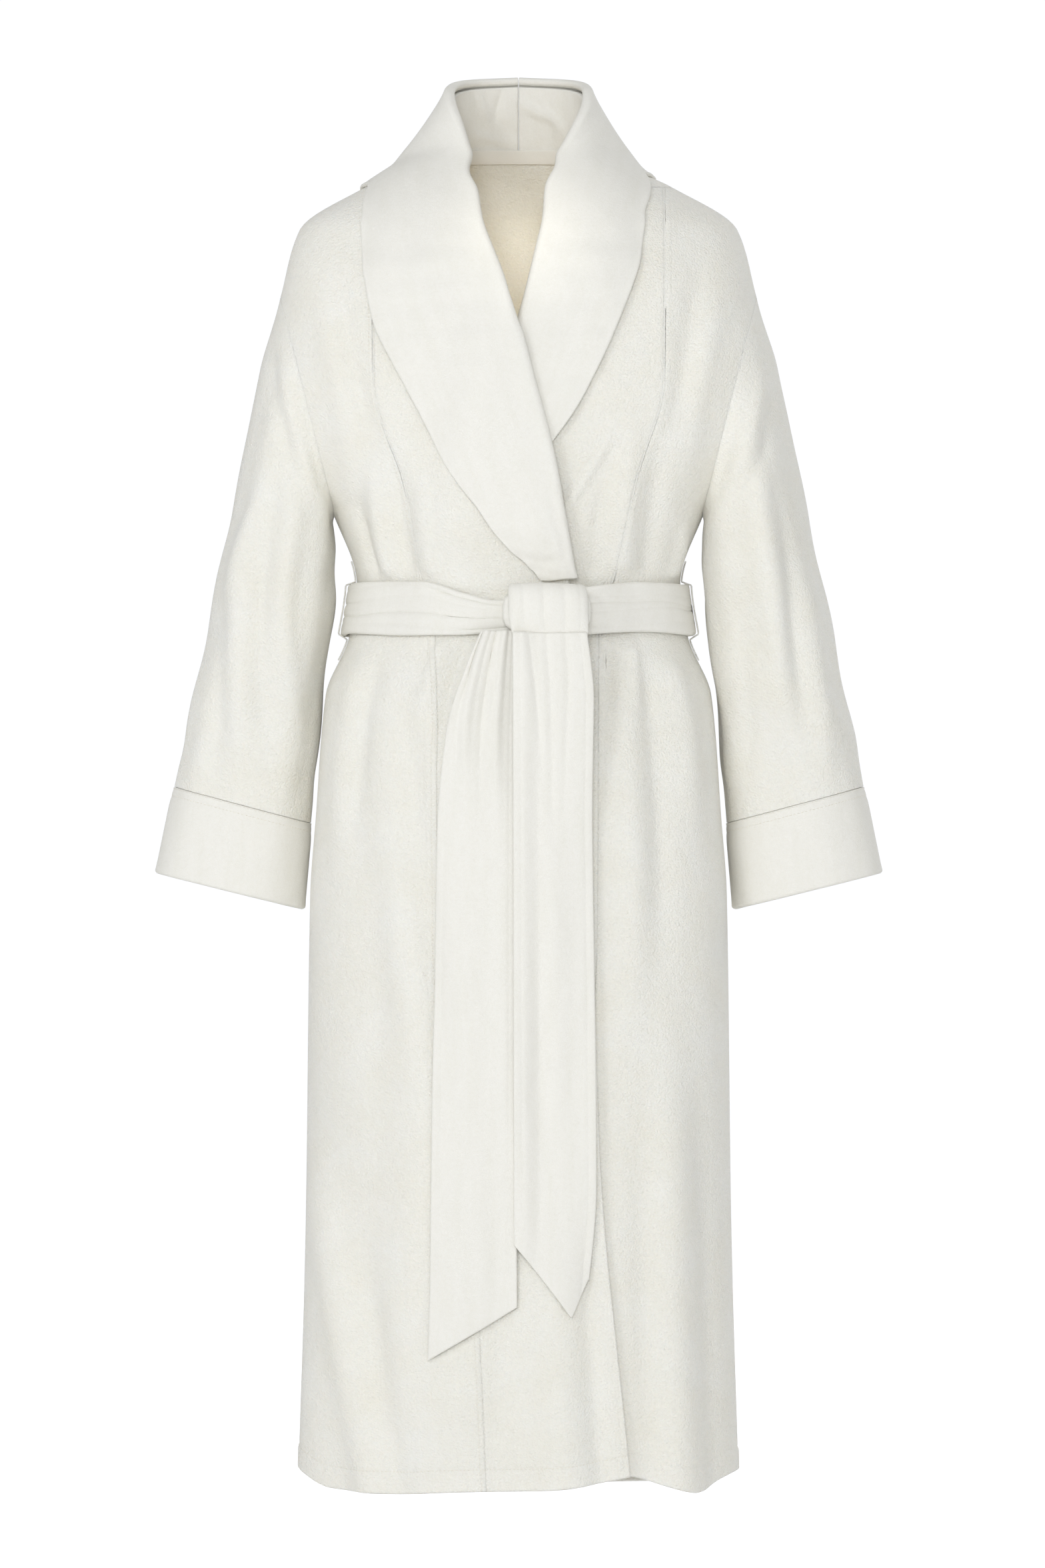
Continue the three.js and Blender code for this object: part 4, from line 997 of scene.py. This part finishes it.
def sleeve_sheet(name, sign, shares, thick, out, folds, phase, turns):
    angles = np.linspace(0, 2 * np.pi, 133)[:-1]
    angle, share = np.meshgrid(angles, shares)
    base = on_sleeve(angle, share)
    lifted = arm_relief(base[..., 2], base[..., 0], angle, share, folds, phase) + out
    points = base + grid_normals(base, True) * lifted[..., None]
    points = points * np.array([sign, 1, 1])
    length = np.linalg.norm(np.diff(points, axis=0), axis=2).sum(0).mean()
    rows = (shares - shares[0]) / (shares[-1] - shares[0])
    made = Sheet(name, points, thick(share), (rows, None), (length, 1), turns, around=True)
    if sign < 0:
        made.normals = -made.normals
        made.outer, made.inner = made.inner, made.outer
    return made


# Rows are shares of the sleeve's length; the cuff runs on past 1.
sleeve_shares = np.concatenate([
    (0, 0.0012, 0.004, 0.008, 0.014), np.linspace(0.02, 0.985, 150), (0.988, 0.991, 0.994, 0.997, 0.999, 1.0),
])
cuff_shares = np.concatenate([
    (1.0, 1.001, 1.004, 1.008, 1.012, 1.016, 1.02, 1.025), np.linspace(1.03, 1.19, 34),
    (1.193, 1.1955, 1.198, 1.1993, 1.2),
])


def sleeve_thick(share):
    return TERRY + 0 * share


def cuff_thick(share):
    """The cuff is folded double, so it is thicker than the sleeve, and it is pinched where it is sewn."""
    sewn = bell((share - 1.006) / 0.003) + bell((share - 1.022) / 0.003)
    return 4.6 + 1.8 * smooth((share - 1) / 0.05) - 0.9 * sewn + 0.6 * smooth((share - 1.17) / 0.03)


arms = {}
for label, sign, folds, phase in (("left", 1, LEFT_ARM_FRONT, 0.4), ("right", -1, RIGHT_ARM_FRONT, 2.1)):
    sleeve = sleeve_sheet(f"{label}_sleeve_towelling", sign, sleeve_shares, sleeve_thick, 0, folds, phase,
                          ((butt, butt), (1, 1)))
    cuff = sleeve_sheet(f"{label}_cuff_velour", sign, cuff_shares, cuff_thick, 0.3, folds, phase,
                        ((0.5, 3), (1, 1)))
    plane = np.array([192.0 * sign, 0, -225.0])
    normal = PLANE_NORMAL * np.array([sign, 1, 1])
    start, end = (plane + normal * 1.0) * 0.001, (plane + normal * 86.0) * 0.001
    between = ("robe", f"{label}_arm", tuple(start), tuple(end))
    placed(sleeve.object, TOWELLING, between, f"{label}_sleeve")
    placed(cuff.object, VELOUR, f"{label}_arm", f"{label}_cuff")
    stitched(f"{label}_cuff_stitches", cuff.level_line(True, 3.2), cuff.level_line(True, 9.6))
    arms[label] = (sleeve, cuff)

# ---- sash ----
BELT_OUT = TERRY / 2 + LAYER_GAP + 0.4 + BELT_THICKNESS / 2
BELT_STATIONS = [-150, -83, -47, -20, 0, 50, 103, 150]
FRONT_BELT_TOP = list(zip(BELT_STATIONS, [817, 817, 806, 799, 800, 811, 817, 814]))
FRONT_BELT_LOW = list(zip(BELT_STATIONS, [770, 766, 767, 769, 769, 768, 771, 766]))
# Pleats along the sash: the share up it, width, depth and drift.
SASH_PLEATS = [
    (0.2, 0.05, 1.7, 0.08), (0.42, 0.045, 2.0, -0.1), (0.62, 0.05, 1.6, 0.07), (0.82, 0.05, 1.5, -0.05),
]


def belt_wrap():
    """The sash is folded double and gathered round the waist: soft pleats run along it and draw together
    where they go into the knot."""
    columns = np.linspace(0, 2 * np.pi, 421)[:-1]
    shares = edged(BELT_WIDTH, 46, (0, 0.25, 0.9, 2, 3.5))
    angle, share = np.meshgrid(columns, shares)
    x = on_body(BELT_HEIGHT + 0 * angle, angle)[..., 0]
    front = smooth(np.sin(angle) / 0.3)
    low = lerp(768.0, through(FRONT_BELT_LOW, x), front)
    top = lerp(816.0, through(FRONT_BELT_TOP, x), front)
    height = lerp(low, top, share) + 1.0 * np.sin(angle * 3 + 0.5)
    near = smooth((55 - np.abs(x - 26)) / 55) * front
    v = share + 0.05 * np.sin(angle * 2) + 0.03 * np.sin(angle * 7 + 1)
    pleats = 0
    for place, wide, deep, drift in SASH_PLEATS:
        line = lerp(place + drift * np.sin(angle * 1.5 + place * 9), 0.5 + (place - 0.5) * 0.8, near)
        strength = 0.35 + 0.65 * smooth(0.5 + 0.6 * np.sin(angle * 2.3 + place * 20)) + 0.6 * near
        pleats = pleats - deep * strength * bell((v - line) / wide)
    puff = 1.6 * np.sin(np.pi * np.clip(share, 0, 1)) ** 0.6
    under_x = on_body(height, angle)[..., 0]
    past = 1 - smooth((under_x - through(RIGHT_EDGE, height) - 6) / 45)
    under = np.where(np.sin(angle) > 0, right_out(height, under_x) * past, 0)
    points = off_body(height, angle, under + BELT_OUT - 0.6 + 0.5 * (pleats + puff))
    thick = 5.6 + pleats * 0.8 + puff
    sized = (shares, None), (BELT_WIDTH, 1)
    return Sheet("sash_round_the_waist_velour", points, thick, *sized, ((2.8, 2.8), (1, 1)), around=True)


belt = belt_wrap()
placed(belt.object, VELOUR, "robe", "belt_wrap")
KNOT_BASE = OVERLAP_OUT + BELT_OUT + BELT_THICKNESS / 2 + 2.5
KNOT_FOOT, SASH_WIDTH, SASH_HEM = 762, 71, 7
TAIL_CLOTH = 3.4
TAIL_REST = TERRY / 2 + LAYER_GAP + TAIL_CLOTH / 2


def knot_block():
    """The turns of the sash inside the knot: a rolled pad that shows at its left end and top, with creases
    that run in from the sash."""
    turns, rings = np.linspace(0, 2 * np.pi, 121)[:-1], np.linspace(0.0, np.pi, 60)
    around_x, ring = np.meshgrid(turns, rings)
    a, b, c = -np.cos(ring), np.sin(ring) * np.sin(around_x), np.sin(ring) * np.cos(around_x)
    a, b, c = (signed_power(value, 0.6) for value in (a, b, c))
    creases = (0.55, 0.08), (0.15, 0.1), (-0.3, 0.09), (-0.7, 0.07)
    crease = sum(-d * bell((b - p + 0.25 * a) / 0.1) for p, d in creases)
    swell = 1 + crease * (c > -0.4)
    angle = angle_at(BELT_HEIGHT + 0 * a, 22 + a * 35)
    height = 790.5 + b * 20.5 * swell
    points = off_body(BELT_HEIGHT + 0 * height, angle, KNOT_BASE + (1 + c * swell) * 11.0)
    points[..., 2] = height
    number = np.arange(points[..., 0].size).reshape(points.shape[:2])
    faces = np.stack(corners(ringed(number)), -1).reshape(-1, 4)
    uvs = np.stack(corners(flat_map(points, True)), -2).reshape(-1, 4, 2)
    made = closed_object("sash_knot_velour", points.reshape(-1, 3), faces, uvs)
    bpy.context.view_layer.objects.active = made
    made.select_set(True)
    bpy.ops.object.mode_set(mode="EDIT")
    bpy.ops.mesh.select_all(action="SELECT")
    bpy.ops.mesh.remove_doubles(threshold=0.00002)
    bpy.ops.object.mode_set(mode="OBJECT")
    made.select_set(False)
    return made


knot = knot_block()
placed(knot, VELOUR, "robe", "belt_knot")


def tail_out(height, x, off_knot, fall):
    lift = KNOT_BASE + off_knot - TAIL_REST - OVERLAP_OUT
    return right_out(height, x) + TAIL_REST + lift * smooth((height - KNOT_FOOT + fall) / fall)


def tail_sheet(name, left_line, right_line, tip, top, falls, over, folds, count):
    """A hanging end of the sash. Its edges run down as (distance below the knot, x), and its tip is a line of
    (x at the top, length). falls says how far it stands off at the knot, and over what height it falls back.
    over carries its top on over the knot."""
    longest = max(length for _, length in tip)
    shares = edged(longest, count, start=(0, 0.3, 0.9, 1.7), end=(9, 8, 7, 6, 4, 1.7, 0.9, 0.3, 0))
    columns = edged(SASH_WIDTH, 34, (0, 0.3, 0.9, 1.7, 4, 6, 7, 8, 9.5))
    across = columns * SASH_WIDTH
    top_x = lerp(left_line[0][1], right_line[0][1], columns)
    below = shares[:, None] * np.interp(top_x, *zip(*tip))[None, :]
    x = lerp(through(left_line, below), through(right_line, below), columns[None, :])
    height = top - below
    pleat = sum(fold(across + 0 * below, -below, *each) for each in folds)
    sway = 1.2 * np.sin(below / 120 + columns * 3)
    sway = sway + 0.7 * np.sin(below / 47 + columns * 5) * smooth(below / 60)
    # The front end's edge lies on the back end's, which is kept flat there.
    if over:
        pleat = pleat + 5.2 * (1 - smooth((across - 8) / 16))
    else:
        sway = sway * (1 - 0.9 * smooth((across - 40) / 20))
        pleat = pleat * (1 - smooth((across - 58) / 10))
    sewn = sum(bell((place - across) / 1.2) for place in (SASH_HEM, SASH_WIDTH - SASH_HEM)) + 0 * below
    out = tail_out(height, x, *falls) + 1.0 + np.maximum(sway, -1.2) * smooth(below / 80) + pleat
    front = np.clip(height, 0, KNOT_FOOT)
    out = out + relief(front, angle_at(front, x)) * smooth(below / 90)
    points = off_body(height, angle_at(height, x), out)
    if over:
        points = over(points, columns)
        extra = len(points) - len(shares)
        shares = np.concatenate([np.linspace(0, 0.02, extra + 1)[:-1], lerp(0.02, 1, shares)])
        sewn = np.concatenate([np.repeat(sewn[:1], extra, 0), sewn])
    thick = TAIL_CLOTH - 0.9 * sewn
    return Sheet(name, points, thick, (shares, columns), (longest, SASH_WIDTH), ((1.7, 1.7), (1.7, 1.7)))


def over_the_knot(points, columns):
    """Carries the front end of the sash up over the knot and down behind it."""
    path = [  # (height, how far out)
        (790.0, 3.0), (803.0, 4.0), (809.5, 7.0), (813.0, 13.0), (812.5, 19.5), (809.0, 24.5), (803.0, 27.4),
        (796.0, 28.2), (788.0, 27.8), (780.0, 26.9), (773.0, 25.6), (768.5, 24.6),
    ]
    steps = np.linspace(0, len(path) - 1, 46)
    height_at = through([(i, p[0]) for i, p in enumerate(path)], steps)
    out_at = through([(i, p[1]) for i, p in enumerate(path)], steps)
    left = through([(0, -6), (4, -8), (7, -8), (11, -5)], steps)
    right = through([(0, 50), (4, 52), (7, 53), (11, 53)], steps)
    x = left[:, None] + (right - left)[:, None] * columns[None, :]
    # The cloth's own edges turn back towards the sash, and it is drawn in by soft upright creases.
    drop = 6.5 * (np.exp(-columns / 0.05) + np.exp(-(1 - columns) / 0.05))
    drop = drop * (1 - smooth((steps - 7) / 4))[:, None]
    crease = sum(-d * bell((columns - p) / 0.045) for p, d in ((0.2, 1.3), (0.46, 1.5), (0.72, 1.2)))
    fade = np.sin(np.pi * np.clip(steps / 11, 0.02, 1) ** 0.8)[:, None]
    front = smooth((out_at - 8) / 10)[:, None]
    out = KNOT_BASE + out_at[:, None] - drop * front + crease * front * lerp(0.5, 1, fade)
    bow = 1.5 * np.sin(columns * 3 + 0.4) * (1 - smooth((steps - 6) / 5))[:, None]
    height = height_at[:, None] + 0 * x + crease * (1 - front) * 0.5 + bow
    level = BELT_HEIGHT + 0 * x
    knot_part = off_body(level, angle_at(level, x), out)
    knot_part[..., 2] = height
    return np.concatenate([knot_part[:-1], points], 0)


# Folds whose lines are (height below the knot, distance across the sash).
RIGHT_FOLDS = [
    ([(-150, 30), (0, 15)], 3, -1.3, (0.6, 0)),
    ([(-220, 36), (0, 33)], 3.5, -1.5, (0.6, 0)),
    ([(-180, 44), (0, 51)], 3.2, -1.2, (0.6, 0)),
    ([(-560, 42), (-300, 38), (-80, 30)], 9, 1.8, (0.4, 0.4)),
    ([(-520, 24), (-200, 20)], 8, -1.4, (0.4, 0.4)),
]
LEFT_FOLDS = [
    ([(-170, 26), (0, 12)], 4.5, 3.0, (0.6, 0)),
    ([(-200, 40), (0, 30)], 4, -2.6, (0.6, 0)),
    ([(-190, 54), (0, 48)], 4.5, 2.8, (0.6, 0)),
    ([(-160, 16), (0, 4)], 4, -2.0, (0.6, 0)),
    ([(-560, 30), (-300, 26), (-90, 30)], 9, 1.8, (0.4, 0.4)),
    ([(-600, 50), (-250, 46)], 7, -1.5, (0.4, 0.4)),
]
right_tail = tail_sheet(
    "right_sash_end_velour", [(0, -5), (605, -4)], [(0, 53), (60, 61), (484, 67), (605, 58)],
    [(-5, 539), (41, 605), (52, 571)], 763, (22.4, 170), over_the_knot, RIGHT_FOLDS, 150,
)
left_tail = tail_sheet(
    "left_sash_end_velour", [(0, -30), (35, -44), (90, -62), (180, -70), (648, -77)], [(0, -2), (648, -1)],
    [(-30, 648), (-2, 600)], 768, (12, 90), None, LEFT_FOLDS, 160,
)
right_between = ("robe", "right_tail", (0.03, -0.16, -0.428), (0.03, -0.16, -0.462))
left_between = ("robe", "left_tail", (-0.02, -0.16, -0.428), (-0.02, -0.16, -0.462))
placed(right_tail.object, VELOUR, right_between, "right_belt_tail")
placed(left_tail.object, VELOUR, left_between, "left_belt_tail")
for side, tail in (("right", right_tail), ("left", left_tail)):
    group = f"{side}_sash_end_stitches"
    stitched(group, *(tail.upward_line(first, SASH_HEM) for first in (True, False)))
    stitched(group, tail.level_line(False, SASH_HEM))


# ---- belt loops ----
def belt_loop(name, sign):
    """A strip of towelling sewn to the side seam above and below the sash."""
    rest, over = TERRY / 2 + SEAM_GAP + 0.7, BELT_OUT + BELT_THICKNESS / 2 + 1.2
    path = [(746, rest), (765, rest), (769, over), (792, over + 0.4), (815, over), (819, rest), (838, rest)]
    shares = edged(100, 60, (0, 0.2, 0.6, 1))
    columns = edged(10, 9, (0, 0.2, 0.6, 1))
    height = lerp(746.0, 838.0, shares)[:, None] + 0 * columns
    y = (columns * 10 - 5)[None, :] + 0 * height
    angle = np.sign(y) * (np.abs(y) / through(FRONT_DEPTHS, height)) ** (1 / POWER)
    points = off_body(height, angle, through(path, height)) * np.array([sign, 1, 1])
    return Sheet(name, points, 1.4, (shares, columns), (100, 10))


left_loop, right_loop = belt_loop("left_belt_loop_towelling", 1), belt_loop("right_belt_loop_towelling", -1)
placed(left_loop.object, TOWELLING, "robe", "left_belt_loop")
placed(right_loop.object, TOWELLING, "robe", "right_belt_loop")

# ---- stitches, each group on the body of its cloth ----
threads = {}
for group, body in (
    ("hem_and_seam_stitches", "robe"),
    ("left_cuff_stitches", "left_arm"),
    ("right_cuff_stitches", "right_arm"),
    ("right_sash_end_stitches", right_between),
    ("left_sash_end_stitches", left_between),
):
    threads[group] = placed(stitches(group), SEWING, body)

# ---- the flat size that each sheet was cut to ----
sash_ends = [[threads[f"{side}_sash_end_stitches"]] for side in ("right", "left")]
for sheet, held, rests_on, *sewn_on in (
    (back, "hung", ["right_collar_stand_velour"]),
    (left_front, "hung", ["back_panel_towelling"]),
    (right_front, "hung", ["back_panel_towelling"]),
    (left_band, "hung", ["left_front_towelling"]),
    (right_band, "hung", ["right_front_towelling"]),
    (left_facing, "hung", ["left_front_band_towelling"]),
    (right_facing, "hung", ["right_front_band_towelling"]),
    (left_bag, "hung", ["left_front_towelling"]),
    (right_bag, "hung", ["right_front_towelling"]),
    (right_collar, "folded", ["right_front_band_towelling"]),
    (left_collar, "folded", ["left_front_band_towelling"]),
    (right_stand, "hung", ["back_panel_towelling"]),
    (left_stand, "hung", ["back_panel_towelling"]),
    (neck_tape, "stretched", ["back_panel_towelling"]),
    (belt, "gathered", ["back_panel_towelling", "right_front_towelling"]),
    (right_tail, "hung", ["sash_knot_velour"], sash_ends[0]),
    (left_tail, "hung", ["sash_knot_velour"], sash_ends[1]),
    (left_loop, "stretched", ["left_front_towelling"]),
    (right_loop, "stretched", ["right_front_towelling"]),
):
    cut_from(sheet, held, rests_on, *sewn_on)
for label, (sleeve, cuff) in arms.items():
    cut_from(sleeve, "hung", ["back_panel_towelling"])
    cut_from(cuff, "hung", [sleeve.object.name], [threads[f"{label}_cuff_stitches"]])


# ---- floor, backdrop, light and camera ----
def studio_white():
    """Matt white card that gives back a little light of its own, so that it stays even behind the cloth."""
    made, tree = new_material("matt white card")
    place = node(tree, "ShaderNodeTexCoord").outputs["Object"]
    soft = node(tree, "ShaderNodeTexNoise", Vector=place, Scale=0.6, Detail=1)
    colour = node(tree, "ShaderNodeValToRGB", stops=[(0.3, "#FBFBFB"), (0.7, "#FFFFFF")], Fac=soft.outputs[0])
    axes = node(tree, "ShaderNodeSeparateXYZ", Vector=place)
    glow = node(tree, "ShaderNodeMapRange", SOFT_STEP, Value=axes.outputs[1],
                From_Min=2.6, From_Max=4.6, To_Min=0.0, To_Max=0.6)
    shader = node(tree, "ShaderNodeBsdfPrincipled", Base_Color=colour.outputs[0], Roughness=1.0,
                  Specular_IOR_Level=0.0, Emission_Color=(1, 1, 1, 1), Emission_Strength=glow.outputs[0])
    node(tree, "ShaderNodeOutputMaterial", Surface=shader.outputs[0])
    return made


card = studio_white()
bpy.ops.mesh.primitive_plane_add(size=30, location=(0, 0, -1.45))
floor = bpy.context.active_object
floor.name = "pale_floor"
floor.data.materials.append(card)
floor.select_set(False)

scene = bpy.context.scene
scene.view_settings.view_transform = "Standard"
world = bpy.data.worlds.new("even studio light")
scene.world = world
world.use_nodes = True
sky = world.node_tree.nodes["Background"]
sky.inputs["Color"].default_value = (0.99, 1.0, 1.02, 1)
# Even light all round, with a brighter patch straight behind the robe.
toward = node(world.node_tree, "ShaderNodeTexCoord").outputs["Generated"]
toward = node(world.node_tree, "ShaderNodeSeparateXYZ", Vector=toward)
bright = node(world.node_tree, "ShaderNodeMapRange", SOFT_STEP, Value=toward.outputs[1],
              From_Min=0.95, From_Max=0.985, To_Min=0.57, To_Max=1.02)
world.node_tree.links.new(bright.outputs[0], sky.inputs["Strength"])

CENTRE = Vector((0.0036, -0.06, -0.5690))


def lamp(name, kind, place, aim, power, **settings):
    data = bpy.data.lights.new(name, kind)
    data.energy, data.color = power, (0.985, 1.0, 1.035)
    for key, value in settings.items():
        setattr(data, key, value)
    made = bpy.data.objects.new(name, data)
    scene.collection.objects.link(made)
    made.location = place
    made.rotation_mode = "QUATERNION"
    made.rotation_quaternion = (aim - made.location).to_track_quat("-Z", "Y")


lamp("soft_key_upper_left", "AREA", CENTRE + Vector((-3.1, -5.2, 2.4)), CENTRE, 58, size=1.2)
lamp("soft_front", "AREA", CENTRE + Vector((-0.3, -7.0, 1.2)), CENTRE, 146, size=1.6)
lamp("soft_back", "AREA", CENTRE + Vector((2.6, 4.6, 2.4)), CENTRE, 75, size=1.2)
into_neck = Vector((0.003, 0.09, -0.078))
lamp("soft_lamp_into_the_neck", "SPOT", into_neck + Vector((0, -7, 0.4)), into_neck, 900,
     spot_size=math.radians(0.9), spot_blend=1.0, shadow_soft_size=0.05, color=(1.0, 0.96, 0.88))
lamp("warm_lamp_inside_the_neck", "AREA", Vector((0.0, -0.015, -0.235)), Vector((0.0, 0.09, -0.06)), 0.09,
     size=0.09, color=(1.0, 0.84, 0.6))

camera_data = bpy.data.cameras.new("long_lens")
camera = bpy.data.objects.new("long_lens", camera_data)
scene.collection.objects.link(camera)
LENS, SENSOR, VIEW_HEIGHT = 400, 36, 1.4112
camera_data.lens, camera_data.sensor_width = LENS, SENSOR
camera_data.clip_end = 60
camera.location = CENTRE + Vector((0, -VIEW_HEIGHT / 2 / (SENSOR / 2 / LENS), 0))
camera.rotation_mode = "QUATERNION"
camera.rotation_quaternion = Vector((0, 1, 0)).to_track_quat("-Z", "Y")
scene.camera = camera

print("flat sizes", flat_sizes)
